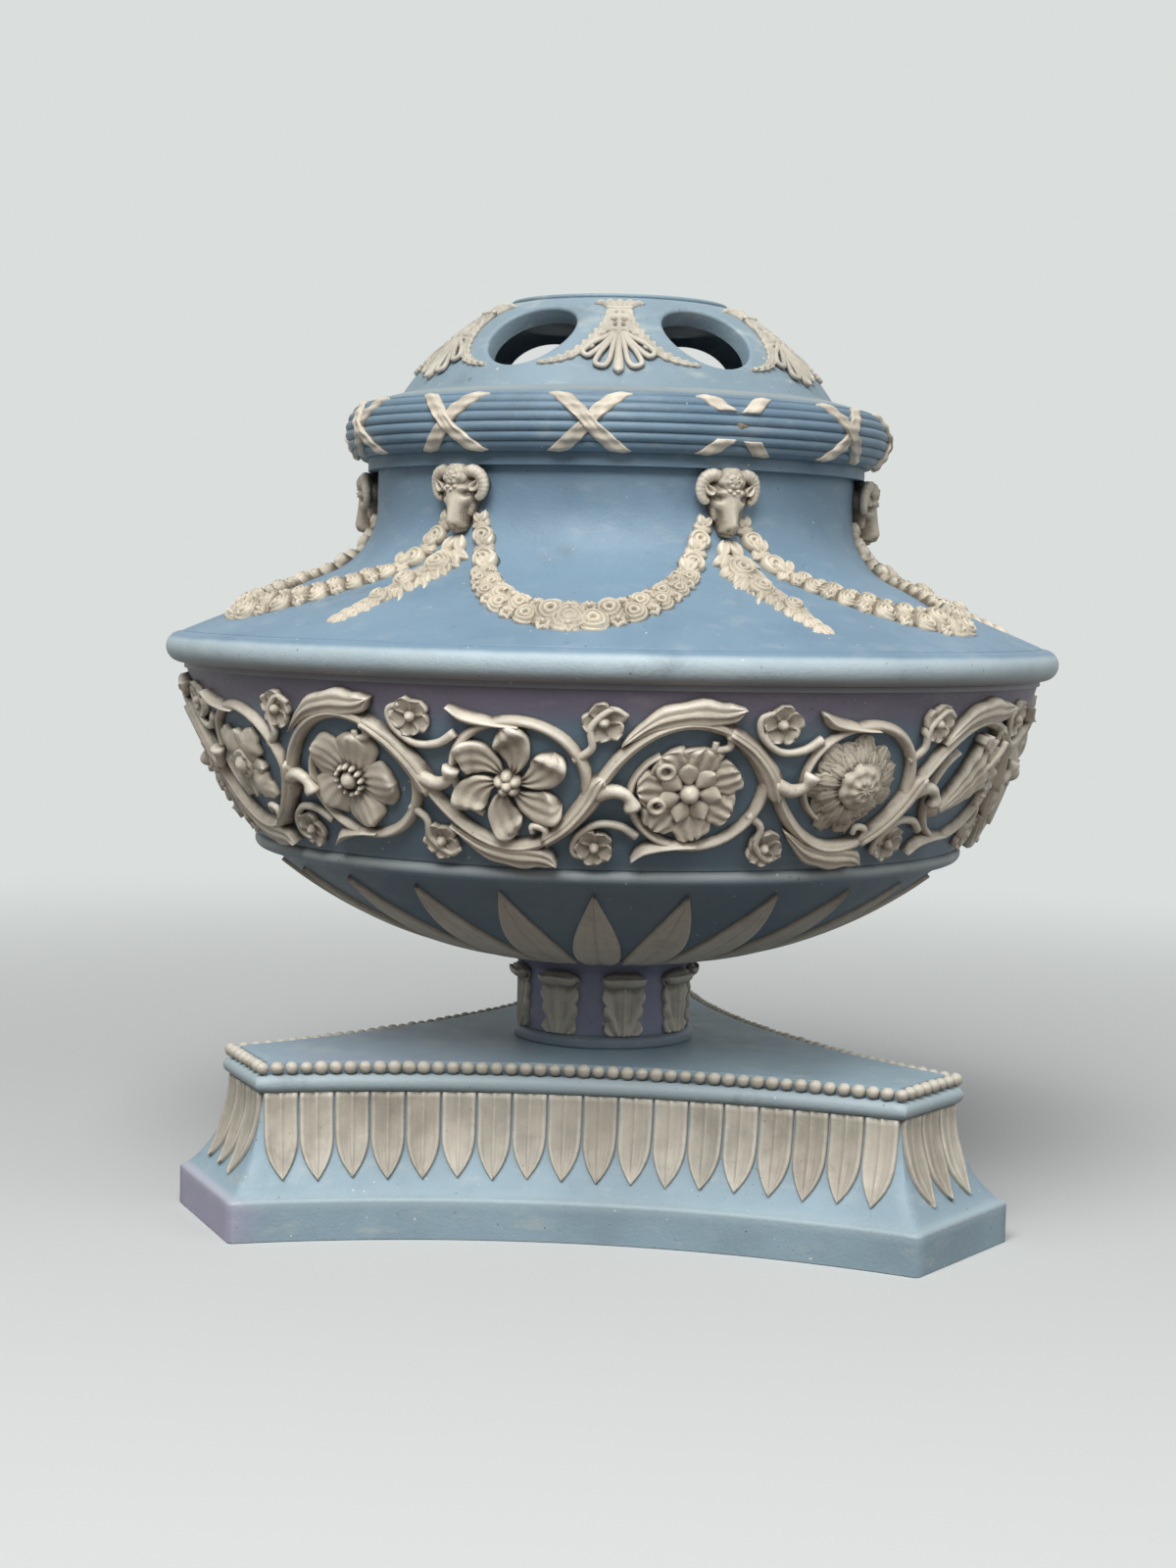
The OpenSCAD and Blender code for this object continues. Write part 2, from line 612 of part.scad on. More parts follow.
// Cover
dome_c = bow_centre(dome_from, dome_to, dome_bulge);
function dome_angle(t) = let(a = angle_of(dome_from - dome_c)) a + t * wrap(angle_of(dome_to - dome_c) - a);
// Places children on the dome: t runs from foot to top, z points out of the surface and y up the slope
module on_dome(azimuth, t) {
    m = dome_angle(t);
    p = dome_c + dome_bulge * [cos(m), sin(m)];
    at_azimuth(azimuth) translate([p[0], 0, p[1]]) rotate([0, 90 - m, 0]) rotate([0, 0, 90]) children();
}
module pierced_cover() {
    inner = bow(dome_from, dome_to, dome_bulge, -cover_wall);
    spigot_in = spigot_r - spigot_wall;
    inside = [for (p = inner) if (p[0] < spigot_in) p];
    under_z = inner[len(inner) - 1][1];
    color([0.55, 0.66, 0.74]) difference() {
        rotate_extrude() polygon(concat(
            [[spigot_in, seat_z - spigot_h], [spigot_r, seat_z - spigot_h], [spigot_r, seat_z], [cover_r, seat_z],
             [cover_r, dome_z - 0.6]],
            bow(dome_from, dome_to, dome_bulge),
            [[lip_r, dome_end_z + 0.5], [lip_r, dome_end_z + lip_h], [lip_r - lip_w, dome_end_z + lip_h],
             [lip_r - lip_w - 0.4, dome_end_z + 0.6], [0, dome_end_z], [0, under_z]],
            reversed(inside)));
        for (k = [0:holes - 1]) on_dome(cover_turn + 180 / holes + k * 360 / holes, 0.52)
            cylinder(d = hole_d, h = 40, center = true);
    }
}
// Palmette outline about the origin: a cup, a husk, a fan that opens downwards and a spray at each side
module palmette_outline(h) {
    translate([0, -h * 0.07]) for (i = [-3:3]) rotate(180 + i * 26) translate([0, h * 0.21]) lens(h * 0.42, h * 0.11);
    translate([0, h * 0.1]) lens(h * 0.54, h * 0.2);
    polygon([[-h * 0.17, h * 0.5], [-h * 0.05, h * 0.3], [h * 0.05, h * 0.3], [h * 0.17, h * 0.5]]);
    for (side = [-1, 1]) arc_band([side * h * 0.6, h * 0.13], h * 0.53, 90 + side * 98, side * 82, h * 0.055, 6);
}
module palmette(k) {
    h = dome_h * 1.3;
    color([0.78, 0.75, 0.69]) intersection() {
        rotate_extrude() polygon(skin(dome_from, dome_to, dome_bulge, ribbon_t));
        on_dome(cover_turn + k * 360 / holes, 0.5) translate([0, 0, -14]) linear_extrude(height = 20) palmette_outline(h);
    }
}

// Bolt that clamps bowl, stem and plinth
floor_z = bow(lower_from, lower_to, lower_bulge, -bowl_wall)[0][1];
deck_z = stem_z - deck_h;
module washers() {
    color("dimgray") for (z = [floor_z, deck_z - washer_h]) translate([0, 0, z]) difference() {
        cylinder(r = washer_r, h = washer_h);
        translate([0, 0, -1]) cylinder(r = bolt_d / 2 + 0.2, h = washer_h + 2);
    }
}
module bolt() {
    end_z = deck_z - washer_h - nut_h - bolt_past_nut;
    color("gray") {
        translate([0, 0, end_z]) cylinder(d = bolt_d, h = floor_z + washer_h - end_z + eps);
        translate([0, 0, floor_z + washer_h]) cylinder(r = bolt_head_r, h = bolt_head_h);
    }
}
module nut() {
    color("gray") translate([0, 0, deck_z - washer_h - nut_h]) difference() {
        cylinder(r = bolt_d * 0.96, h = nut_h, $fn = 6);
        translate([0, 0, -1]) cylinder(d = bolt_d, h = nut_h + 2);
    }
}

plinth();
plinth_beads();
plinth_leaves();
stem();
stem_leaves();
bowl();
bowl_leaves();
frieze_vine();
frieze_flowers();
frieze_florets();
shoulder();
collar();
pierced_cover();
bolt();
washers();
nut();
for (k = [1:heads]) ram_head(k - 1);
for (k = [1:heads]) swag(k - 1);
for (k = [1:heads]) drop(k - 1);
for (k = [1:crosses]) ribbon_cross(k - 1);
for (k = [1:holes]) palmette(k - 1);
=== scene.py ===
# %% [markdown]
# # A potpourri vase with a pierced cover
# The vase is dry-bodied stoneware: blue and lilac clay turned on a lathe, with cream clay ornament
# pressed in moulds and laid on while both were damp. The packed solid model is loaded here as a fixed
# frame. Each surface below takes the place of one of its nodes, at the same spot. Shapes are worked out
# in millimetres and fired in metres.

import bmesh
import bpy
import numpy as np
from mathutils import Matrix


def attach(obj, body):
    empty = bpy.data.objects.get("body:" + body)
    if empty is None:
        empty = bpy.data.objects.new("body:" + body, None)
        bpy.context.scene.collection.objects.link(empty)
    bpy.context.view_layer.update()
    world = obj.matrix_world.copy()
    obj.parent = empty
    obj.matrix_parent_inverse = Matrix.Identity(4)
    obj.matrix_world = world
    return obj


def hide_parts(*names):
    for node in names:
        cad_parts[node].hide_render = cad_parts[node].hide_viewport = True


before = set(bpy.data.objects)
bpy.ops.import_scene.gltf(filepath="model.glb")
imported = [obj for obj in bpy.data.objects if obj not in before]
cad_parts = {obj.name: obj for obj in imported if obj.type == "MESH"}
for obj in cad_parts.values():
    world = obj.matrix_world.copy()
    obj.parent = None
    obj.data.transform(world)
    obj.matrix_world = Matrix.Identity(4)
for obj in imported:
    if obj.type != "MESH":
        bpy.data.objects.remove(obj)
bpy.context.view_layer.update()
scene = bpy.context.scene
tau = 2 * np.pi

# %% [markdown]
# ## Camera
# The photograph is taken a little over half a metre away, from slightly right of the middle and from
# bowl height. A camera could be aimed by hand, but a direction, a slope and a roll worked out from
# edges of known place give the same picture each time, so its axes are built from those angles.


# %% Camera
def camera_axes(heading, pitch, roll):
    """Right, up and back of a camera that looks along heading and pitch degrees down.

    Right and up are then rolled about the line of sight.
    """
    heading, pitch, roll = np.radians([heading, pitch, roll])
    ahead = np.array([-np.sin(heading) * np.cos(pitch), np.cos(heading) * np.cos(pitch), -np.sin(pitch)])
    level = np.array([np.cos(heading), np.sin(heading), 0.0])
    upward = np.cross(level, ahead)
    right = np.cos(roll) * level + np.sin(roll) * upward
    up = np.cos(roll) * upward - np.sin(roll) * level
    return np.stack([right, up, -ahead], axis=1)


lens = bpy.data.cameras.new("photo_camera")
lens.sensor_fit = "VERTICAL"
lens.sensor_height = 24.0
lens.lens = 39.0
lens.clip_start = 0.05
camera = bpy.data.objects.new("photo_camera", lens)
scene.collection.objects.link(camera)
distance, side_step, eye_height = 0.6384, np.radians(5.52), 0.1517
stand = np.eye(4)
stand[:3, :3] = camera_axes(heading=5.99, pitch=4.33, roll=1.28)
stand[:3, 3] = [distance * np.sin(side_step), -distance * np.cos(side_step), eye_height]
camera.matrix_world = Matrix(stand.tolist())
scene.camera = camera
print("camera at", np.round(stand[:3, 3], 3).tolist())

# %% [markdown]
# ## Finishes
# A finish is a node material. Writing every node and link out by hand hides the idea, so a small class
# lets a finish read as a recipe: clouds, streaks, specks and soil are mixed one after the other. Two
# numbers that are kept at each point of a piece, rise and tint, steer the recipes that follow.


# %% Recipe book for finishes
def paint(red, green, blue):
    """A screen colour, 0 to 255, as linear light for shaders: c / 12.92, or ((c + 0.055) / 1.055) ^ 2.4."""
    c = np.array([red, green, blue]) / 255
    return (*np.where(c <= 0.04045, c / 12.92, ((c + 0.055) / 1.055) ** 2.4).tolist(), 1.0)


class Finish:
    """A node material; each method adds a node and gives back its output."""

    def __init__(self, name):
        self.material = bpy.data.materials.new(name)
        self.material.use_nodes = True
        self.tree = self.material.node_tree
        self.shader = self.tree.nodes["Principled BSDF"]
        self.place = self.add("ShaderNodeTexCoord").outputs["Object"]

    def add(self, kind, inputs=None, **settings):
        """A node of a kind, with its settings and what goes into its sockets."""
        node = self.tree.nodes.new(kind)
        for key, value in settings.items():
            setattr(node, key, value)
        for key, value in (inputs or {}).items():
            self.feed(node.inputs[key], value)
        return node

    def feed(self, socket, value):
        """Links another node's output to a socket, or sets a plain value on it."""
        if isinstance(value, bpy.types.NodeSocket):
            self.tree.links.new(value, socket)
        else:
            socket.default_value = value

    def noise(self, size, detail=3.0, stretch=(1, 1, 1), shift=0.0, rough=0.55):
        """Cloudy noise with features of about size millimetres, drawn out along an axis by a stretch under 1."""
        scale = [1000 / size * s for s in stretch]
        moved_by = (shift, shift, shift)
        place = self.add("ShaderNodeMapping", {"Vector": self.place, "Scale": scale, "Location": moved_by})
        cloud = {"Vector": place.outputs[0], "Scale": 1.0, "Detail": detail, "Roughness": rough}
        return self.add("ShaderNodeTexNoise", cloud).outputs["Fac"]

    def band(self, value, low, high, to=1.0):
        """A value turned to 0 at low and to 1, or to the given share, at high."""
        sockets = {"Value": value, "From Min": low, "From Max": high, "To Max": to}
        return self.add("ShaderNodeMapRange", sockets, interpolation_type="SMOOTHSTEP").outputs[0]

    def times(self, a, b):
        """The product a b."""
        return self.add("ShaderNodeMath", {0: a, 1: b}, operation="MULTIPLY").outputs[0]

    def plus(self, a, b):
        """The sum a + b."""
        return self.add("ShaderNodeMath", {0: a, 1: b}, operation="ADD").outputs[0]

    def mix(self, share, a, b):
        """Colour a, with a share of colour b."""
        return self.add("ShaderNodeMix", {0: share, 6: a, 7: b}, data_type="RGBA").outputs[2]

    def kept(self, name):
        """A number kept at each point of the piece."""
        return self.add("ShaderNodeAttribute", attribute_name=name).outputs["Fac"]

    def close(self, colour, rough, height, depth):
        """Ends the recipe: colour, roughness, and a height that bumps the surface by depth millimetres."""
        self.feed(self.shader.inputs["Base Color"], colour)
        self.feed(self.shader.inputs["Roughness"], rough)
        bump = self.add("ShaderNodeBump", {"Height": height, "Strength": 0.6, "Distance": depth / 1000})
        self.feed(self.shader.inputs["Normal"], bump.outputs[0])
        return self.material


print("a recipe can use:", [step for step in vars(Finish) if not step.startswith("_")])

# %% [markdown]
# ## Stoneware
# The body of the vase is clay that is coloured right through. One colour with noise would look like
# paint, so the recipe lays over each other what came in the kiln and in use: clouds, a second clay by
# tint, a third one by rise, smears, soil, and fine specks. The same layers also carry painted light: a
# painted shade on the lower bowl, and a painted highlight in pale clay where rise is below 0.

# %% Stoneware
old_soil, smear_and_highlight_clay = (92, 92, 84), (203, 205, 196)
dark_speck, pale_speck = (70, 66, 58), (228, 226, 216)


def stoneware(name, body, cloud, smear, second=old_soil, third=old_soil):
    """Body and cloud by broad noise, second clay by tint, third by rise, then smears, soil, specks and grain.

    On the lower bowl the third clay is a painted shade; where rise is below 0 the pale clay is a painted highlight.
    """
    f = Finish(name)
    colour = f.mix(f.band(f.noise(30, 4), 0.35, 0.7), paint(*body), paint(*cloud))
    edge = f.plus(f.kept("tint"), f.times(f.plus(f.noise(14, 4, shift=3.1), -0.5), 0.35))
    colour = f.mix(f.band(edge, 0.15, 0.85), colour, paint(*second))
    # Third clay by rise: on the lower bowl this is a painted shade.
    colour = f.mix(f.kept("rise"), colour, paint(*third))
    smears = f.times(f.band(f.noise(9, 5, (1, 1, 2.6), 7.7), 0.52, 0.78), smear)
    # Smears, and a painted highlight in the same pale clay where rise is below 0.
    smears_and_highlight = f.plus(smears, f.times(f.kept("rise"), -1.0))
    colour = f.mix(smears_and_highlight, colour, paint(*smear_and_highlight_clay))
    soil = f.times(f.band(f.noise(20, 6, shift=1.9, rough=0.7), 0.56, 0.8), 0.4)
    colour = f.mix(soil, colour, paint(*old_soil))
    colour = f.mix(f.band(f.noise(1.1, 1, shift=5.3), 0.74, 0.8, 0.6), colour, paint(*dark_speck))
    colour = f.mix(f.band(f.noise(1.6, 1, shift=9.3), 0.76, 0.82, 0.7), colour, paint(*pale_speck))
    rough = f.plus(f.times(f.noise(6, 3, shift=2.2), 0.24), 0.42)
    grain = f.plus(f.noise(0.7, 3), f.times(f.noise(7, 3, shift=4.0), 2.0))
    return f.close(colour, rough, grain, 0.16)


shoulder_blue = stoneware(
    "shoulder_blue", (122, 148, 167), (111, 137, 157), 0.15, second=(190, 206, 210), third=(138, 132, 140))
# The bowl's third clay, (60, 62, 66), is a painted shade on its lower part.
bowl_blue = stoneware(
    "bowl_blue", (106, 128, 144), (94, 115, 131), 0.12, second=(113, 107, 123), third=(60, 62, 66))
collar_blue = stoneware("collar_blue", (116, 140, 157), (102, 126, 144), 0.16, second=(150, 158, 158))
cover_blue = stoneware("cover_blue", (138, 158, 169), (126, 146, 157), 0.4)
stem_lilac = stoneware("stem_lilac", (138, 140, 162), (126, 129, 152), 0.15, second=(122, 134, 146))
plinth_blue = stoneware(
    "plinth_blue", (150, 174, 186), (138, 160, 172), 0.3, second=(172, 170, 192), third=(192, 202, 202))
print("stoneware: shoulder, bowl, collar, cover, stem and plinth")

# %% [markdown]
# ## Cream clay and iron
# The ornament is white clay that has yellowed. Dirt stays in its hollows and hands have wiped its
# crests, so here rise is how far a point stands above what is round it, in millimetres, and tint is a
# share of grime. By rise the hollows also get a painted shade and the crests a painted highlight. A
# plain colour would lose the drawing of the petals. The bolt, washers and nut inside are iron; they
# keep their packed solids and only get a finish.

# %% Cream clay and iron
grime_brown, brown_speck = (112, 99, 82), (84, 70, 54)


def cream_clay(name, crest, face, soil, grimy, matt):
    """Face and shade by noise, paler crests where rise is above 0, soil where it is below, grime and specks.

    The paler crests are wiped wear with a painted highlight; the soil colour is soil with a painted shade.
    """
    f = Finish(name)
    shade = tuple(0.86 * c for c in face)
    colour = f.mix(f.band(f.noise(11, 4), 0.35, 0.68), paint(*face), paint(*shade))
    # Rise with noise: wiped wear and painted highlight above 0, soil and painted shade below.
    wear_and_light = f.plus(f.kept("rise"), f.times(f.plus(f.noise(1.8, 4, shift=6.0), -0.5), 0.6))
    colour = f.mix(f.band(wear_and_light, -0.2, 0.5, 0.9), colour, paint(*crest))
    # Hollows: soil together with a painted shade.
    deep = f.add("ShaderNodeMath", {0: 1.0, 1: f.band(wear_and_light, -1.3, -0.3)}, operation="SUBTRACT").outputs[0]
    colour = f.mix(f.times(deep, 0.85), colour, paint(*soil))
    clouds = f.times(f.band(f.noise(16, 5, shift=2.7, rough=0.7), 0.5, 0.74), grimy)
    colour = f.mix(f.times(f.plus(f.kept("tint"), clouds), 0.6), colour, paint(*grime_brown))
    colour = f.mix(f.band(f.noise(0.9, 1, shift=8.1), 0.75, 0.81, 0.6), colour, paint(*brown_speck))
    rough = f.plus(f.times(f.noise(4, 3, shift=1.2), 0.26), matt - 0.13)
    grain = f.plus(f.noise(0.6, 3), f.times(f.noise(3, 3, shift=4.0), 1.5))
    return f.close(colour, rough, grain, 0.14)


def old_iron(name):
    """Dull iron: grey metal with rust by noise, rougher where it rusts."""
    f = Finish(name)
    rust = f.band(f.noise(3, 5), 0.45, 0.65)
    colour = f.mix(rust, paint(120, 116, 112), paint(104, 66, 44))
    f.feed(f.shader.inputs["Metallic"], f.times(f.plus(f.times(rust, -0.8), 1.0), 0.9))
    return f.close(colour, f.plus(f.times(rust, 0.35), 0.42), f.noise(0.8, 3), 0.1)


# The first colour paints crests and their highlight, the third the soil and painted shade in hollows.
plaster_cream = cream_clay("plaster_cream", (241, 234, 219), (223, 213, 194), (82, 74, 64), 0.35, 0.42)
swag_cream = cream_clay("swag_cream", (234, 225, 206), (213, 202, 181), (100, 84, 66), 0.3, 0.46)
head_cream = cream_clay("head_cream", (236, 227, 210), (217, 206, 187), (98, 86, 70), 0.35, 0.46)
leaf_cream = cream_clay("leaf_cream", (214, 208, 194), (196, 189, 174), (104, 97, 87), 0.5, 0.48)
iron = old_iron("old_iron")
for node in ("bolt", "washers", "nut"):
    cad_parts[node].data.materials.clear()
    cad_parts[node].data.materials.append(iron)
print("cream clay: frieze, swags, heads and leaves; iron on the bolt, washers and nut")

# %% [markdown]
# ## Clay
# Most pieces are grids of points: rows and columns worked out as whole arrays, where four neighbours
# make a face. A heap of such grids is fired into one mesh. Doubled points are merged first, so that
# seams and poles close, and then all faces are turned outwards.


# %% A heap of clay
class Clay:
    """Grids of points in millimetres, with rise and tint at each point, that become one piece."""

    def __init__(self):
        self.points, self.quads, self.rise, self.tint, self.count = [], [], [], [], 0

    def press(self, grid, rise=0.0, tint=0.0):
        """Adds a grid of rows and columns, whose last column joins its first."""
        rows, columns = grid.shape[:2]
        number = np.arange(rows * columns).reshape(rows, columns) + self.count
        number = np.hstack([number, number[:, :1]])
        corners = [number[:-1, :-1], number[:-1, 1:], number[1:, 1:], number[1:, :-1]]
        self.quads.append(np.stack(corners, -1).reshape(-1, 4))
        self.points.append(grid.reshape(-1, 3))
        self.rise.append(np.broadcast_to(rise, (rows, columns)).ravel())
        self.tint.append(np.broadcast_to(tint, (rows, columns)).ravel())
        self.count += rows * columns
        return self

    def fire(self, body, slot, finish, *nodes, crease=180):
        """Makes the mesh, rides it on its body and lets it stand for its nodes.

        Edges that turn by more than crease degrees stay sharp.
        """
        mesh = bpy.data.meshes.new("fired_" + nodes[0])
        quads = np.concatenate(self.quads)
        mesh.vertices.add(self.count)
        mesh.vertices.foreach_set("co", (np.concatenate(self.points) * 0.001).ravel())
        mesh.loops.add(quads.size)
        mesh.loops.foreach_set("vertex_index", quads.ravel())
        mesh.polygons.add(len(quads))
        mesh.polygons.foreach_set("loop_start", np.arange(len(quads)) * 4)
        mesh.update(calc_edges=True)
        for name, values in (("rise", self.rise), ("tint", self.tint)):
            mesh.attributes.new(name, "FLOAT", "POINT").data.foreach_set("value", np.concatenate(values))
        work = bmesh.new()
        work.from_mesh(mesh)
        bmesh.ops.remove_doubles(work, verts=work.verts, dist=2e-6)
        bmesh.ops.recalc_face_normals(work, faces=work.faces)
        work.to_mesh(mesh)
        work.free()
        mesh.shade_smooth()
        if crease < 180:
            mesh.set_sharp_from_angle(angle=np.radians(crease))
        mesh.materials.append(finish)
        piece = bpy.data.objects.new("fired_" + nodes[0], mesh)
        scene.collection.objects.link(piece)
        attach(piece, body)
        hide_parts(*nodes)
        print(piece.name, len(mesh.polygons), "faces")
        return piece


print("a heap of clay starts with", Clay().count, "points")

# %% [markdown]
# ## Turned bodies
# Stem, bowl, shoulder and collar were thrown and turned, so each is a profile of radius and height
# swept round the axis. A lathe modifier could do it; as an array it is one line, and each point can
# also get a share of the second clay. Angles start at the front and grow to the right.


# %% Profiles and turning
def arc(centre, radius, start, end, count):
    """Points on a circle about centre from one angle to another, in degrees."""
    a = np.radians(np.linspace(start, end, count))
    return np.stack([centre[0] + radius * np.cos(a), centre[1] + radius * np.sin(a)], -1)


def bow(p, q, radius, count, grow=0.0):
    """Arc from p up to q that bulges outward, or is hollow where radius is below 0; grow moves it outward."""
    p, q = np.array(p), np.array(q)
    chord = np.linalg.norm(q - p)
    across = np.array([p[1] - q[1], q[0] - p[0]]) / chord
    centre = (p + q) / 2 + np.sign(radius) * np.sqrt(radius**2 - chord**2 / 4) * across
    start, end = (np.degrees(np.arctan2(*(e - centre)[::-1])) for e in (p, q))
    turn = (end - start + 180) % 360 - 180
    return arc(centre, abs(radius) + np.sign(radius) * grow, start, start + turn, count)


def straight(*corners, step=1.5):
    """Points along straight lines between corners, no further apart than step."""
    runs = []
    for p, q in zip(corners[:-1], corners[1:]):
        count = max(2, int(np.hypot(*np.subtract(q, p)) / step) + 1)
        runs.append(np.linspace(p, q, count))
    return np.concatenate(runs)


def ease(value, low, high):
    """0 below low, 1 above high, and 3 t^2 - 2 t^3 between."""
    t = np.clip((value - low) / (high - low), 0, 1)
    return t * t * (3 - 2 * t)


def unevenness(azimuth, height):
    """A few slow waves, under 0.15 mm, as on clay that moved a little in the kiln."""
    slow = np.sin(2 * azimuth + 0.7 + height * 0.03) + 0.6 * np.sin(5 * azimuth - 1.1 + height * 0.11)
    return 0.08 * slow + 0.03 * np.sin(13 * azimuth + height * 0.4)


def turned(line, azimuth, warp=1.0):
    """Sweeps a profile round the axis: x = r sin a, y = -r cos a, with a share of warp away from the bore."""
    r, z = line[:, :1], line[:, 1:]
    r = r + warp * unevenness(azimuth, z) * (r > 8)
    return np.stack([r * np.sin(azimuth), -r * np.cos(azimuth), z + 0 * azimuth], -1)


around = np.arange(192) * tau / 192
print("a turned row has", len(around), "points")

# %% [markdown]
# ## Stem and bowl
# The lilac stem stands on a blue flange and flares out under the bowl. The bowl is a shallow lower
# part, a ring, and a frieze wall that leans outwards. A profile that runs up the outside and back down
# the inside gives both faces of the wall at once, which is simpler than thickening a sheet.

# %% Stem and bowl
bore, wall = 3.6, 6
flange_r, stem_r, flare_r = 22, 20.5, 25.5
deck_z, flange_z, flare_z, flare_top_z, seat_z = 40.0, 43, 58, 61.5, 62.5
stem_line = np.concatenate([
    straight((flange_r, deck_z), (22.5, 40.5)), arc((21, 41.5), 1.5, 0, 90, 7),
    straight((stem_r, flange_z), (stem_r, flare_z)), bow((stem_r, flare_z), (flare_r, flare_top_z), -7, 8),
    straight((flare_r, flare_top_z), (flare_r, seat_z), (bore, seat_z), (bore, deck_z), (flange_r, deck_z))])
blue_flange = ease(44.5 - stem_line[:, 1:], 0, 2)
Clay().press(turned(stem_line, around), tint=blue_flange).fire(
    "vase", "lilac_stoneware", stem_lilac, "stem", crease=40)

bowl_foot, bowl_edge, lower_bulge = (26.5, seat_z), (84.5, 88), 110
frieze_foot, frieze_top, frieze_bulge = (87.2, 91.2), (105, 131.2), 157
inner_rim = (frieze_top[0] - wall, frieze_top[1])
bowl_line = np.concatenate([
    straight((bore, seat_z), bowl_foot), bow(bowl_foot, bowl_edge, lower_bulge, 40),
    arc((86.1, 89.5), 1.75, -95, 95, 11), bow(frieze_foot, frieze_top, frieze_bulge, 32),
    straight(frieze_top, inner_rim), bow(frieze_foot, frieze_top, frieze_bulge, 24, -wall)[::-1],
    bow(bowl_foot, bowl_edge, lower_bulge, 24, -wall)[::-1], straight((bore, 68.4), (bore, seat_z))])
bowl_r, bowl_z = bowl_line[:, :1], bowl_line[:, 1:]
# Real lilac clay under the rim, and a share of it as painted shade on the lower bowl.
lilac_and_lower_shade = ease(bowl_z, 118, 130) * 0.9 + 0.35 * ease(70 - bowl_z, 0, 7)
# A painted highlight on the ring under the frieze.
ring_highlight = 0.5 * np.exp(-(((bowl_z - 90.0) / 1.1) ** 2)) * (bowl_r > 85.5)
# Painted shade on the lower bowl, less the ring's painted highlight.
lower_shade_and_ring_highlight = 0.4 * ease(88.0 - bowl_z, 0, 3) - ring_highlight
Clay().press(turned(bowl_line, around), lower_shade_and_ring_highlight, lilac_and_lower_shade).fire(
    "vase", "blue_stoneware", bowl_blue, "bowl", crease=40)

# %% [markdown]
# ## Shoulder and collar
# A round rim closes the bowl. From it the shoulder slopes up and sweeps into the neck, and a collar of
# reeds sits on the neck. A reed is a small round; six of them follow a larger round, so the collar's
# outer line is that larger circle plus the bulge of whichever reed the angle falls in.

# %% Shoulder and collar
neck_r, sweep_r, sweep = 59, 18, np.array([77.0, 171.607])
shoulder_edge, collar_z, cover_seat_z = (104.82, 140.6), 180.007, 196.407
shoulder_line = np.concatenate([
    straight(inner_rim, (105.6, 131.2), (105.6, 132.6)), arc((106.3, 136.2), 3.7, -92, 92, 22),
    straight((105.9, 139.9), (105.82, 140.1), shoulder_edge), straight((104.6, 140.69), (70.3, 154.9)),
    arc(sweep, sweep_r, 247.5, 180, 22), straight((neck_r, 172.4), (neck_r, collar_z), (53, collar_z)),
    straight((53, collar_z), (53, 171.6)), arc(sweep, sweep_r + wall, 180, 247.5, 16),
    straight((68, 149.4), (99, 136.6), inner_rim)])
shoulder_z = shoulder_line[:, 1:]
rim_wear = ease(139.9 - shoulder_z, 0, 2) * 0.65
rim_lilac = ease(134.8 - shoulder_z, 0, 2.2) * 0.75
Clay().press(turned(shoulder_line, around), rim_lilac, rim_wear).fire(
    "vase", "blue_stoneware", shoulder_blue, "shoulder", crease=40)

reed_centre, reed_circle, reed_half = (59.2, 189.507), 6.75, 1.25
reed_reach, reed_step = 54.3, 18.1
reed_angle = np.linspace(-reed_reach, reed_reach, 109)
within_reed = np.radians((reed_angle + reed_reach) % reed_step - reed_step / 2)
from_middle = reed_circle * np.sin(within_reed)
reed_bulge = reed_circle * np.cos(within_reed) + np.sqrt(np.maximum(reed_half**2 - from_middle**2, 0.02))
reeds = np.stack([reed_centre[0] + reed_bulge * np.cos(np.radians(reed_angle)),
                  reed_centre[1] + reed_bulge * np.sin(np.radians(reed_angle))], -1)
collar_line = np.concatenate([
    straight((51, collar_z), (61.5, collar_z), (61.5, 183.007), (62.9, 183.007)), reeds,
    straight((63.4, 196.0), (55.4, 198.3)), arc((55, 197.9), 0.5, 80, 180, 5),
    straight((54.5, 197.8), (54.5, cover_seat_z), (51, cover_seat_z), (51, collar_z))])
worn_lip = ease(collar_line[:, 1:], 195.8, 197.6) * 0.7
Clay().press(turned(collar_line, around), tint=worn_lip).fire(
    "vase", "blue_stoneware", collar_blue, "collar", crease=50)

# %% [markdown]
# ## Pierced cover
# The cover is a dome with six round holes. Cutting holes into a turned mesh leaves ragged faces round
# them, so each sixth of the dome is a grid of its own: columns run round the hole, and rows run from
# its edge to the border of the sixth. The same columns go through the wall and spread out inside.

# %% Dome of the cover
dome_centre, dome_radius, dome_wall = np.array([2.56, 166.95]), 60, 4.5
dome_foot, inner_foot, dome_top = 32.06, 36.0, 63.85
first_hole, hole_slope, hole_radius, hole_round = 35.5, 48.59, 11.0, 0.9
hole_turn = np.arange(96) * tau / 96
square = 1 / np.maximum(np.abs(np.cos(hole_turn)), np.abs(np.sin(hole_turn)))
border = np.stack([square * np.cos(hole_turn), square * np.sin(hole_turn)])


def dome_point(azimuth, slope, lift):
    """A point of the dome by its azimuth and its angle of slope, lifted along the normal."""
    reach = dome_radius + lift
    r = dome_centre[0] + reach * np.cos(slope)
    return np.stack([r * np.sin(azimuth), -r * np.cos(azimuth), dome_centre[1] + reach * np.sin(slope)], -1)


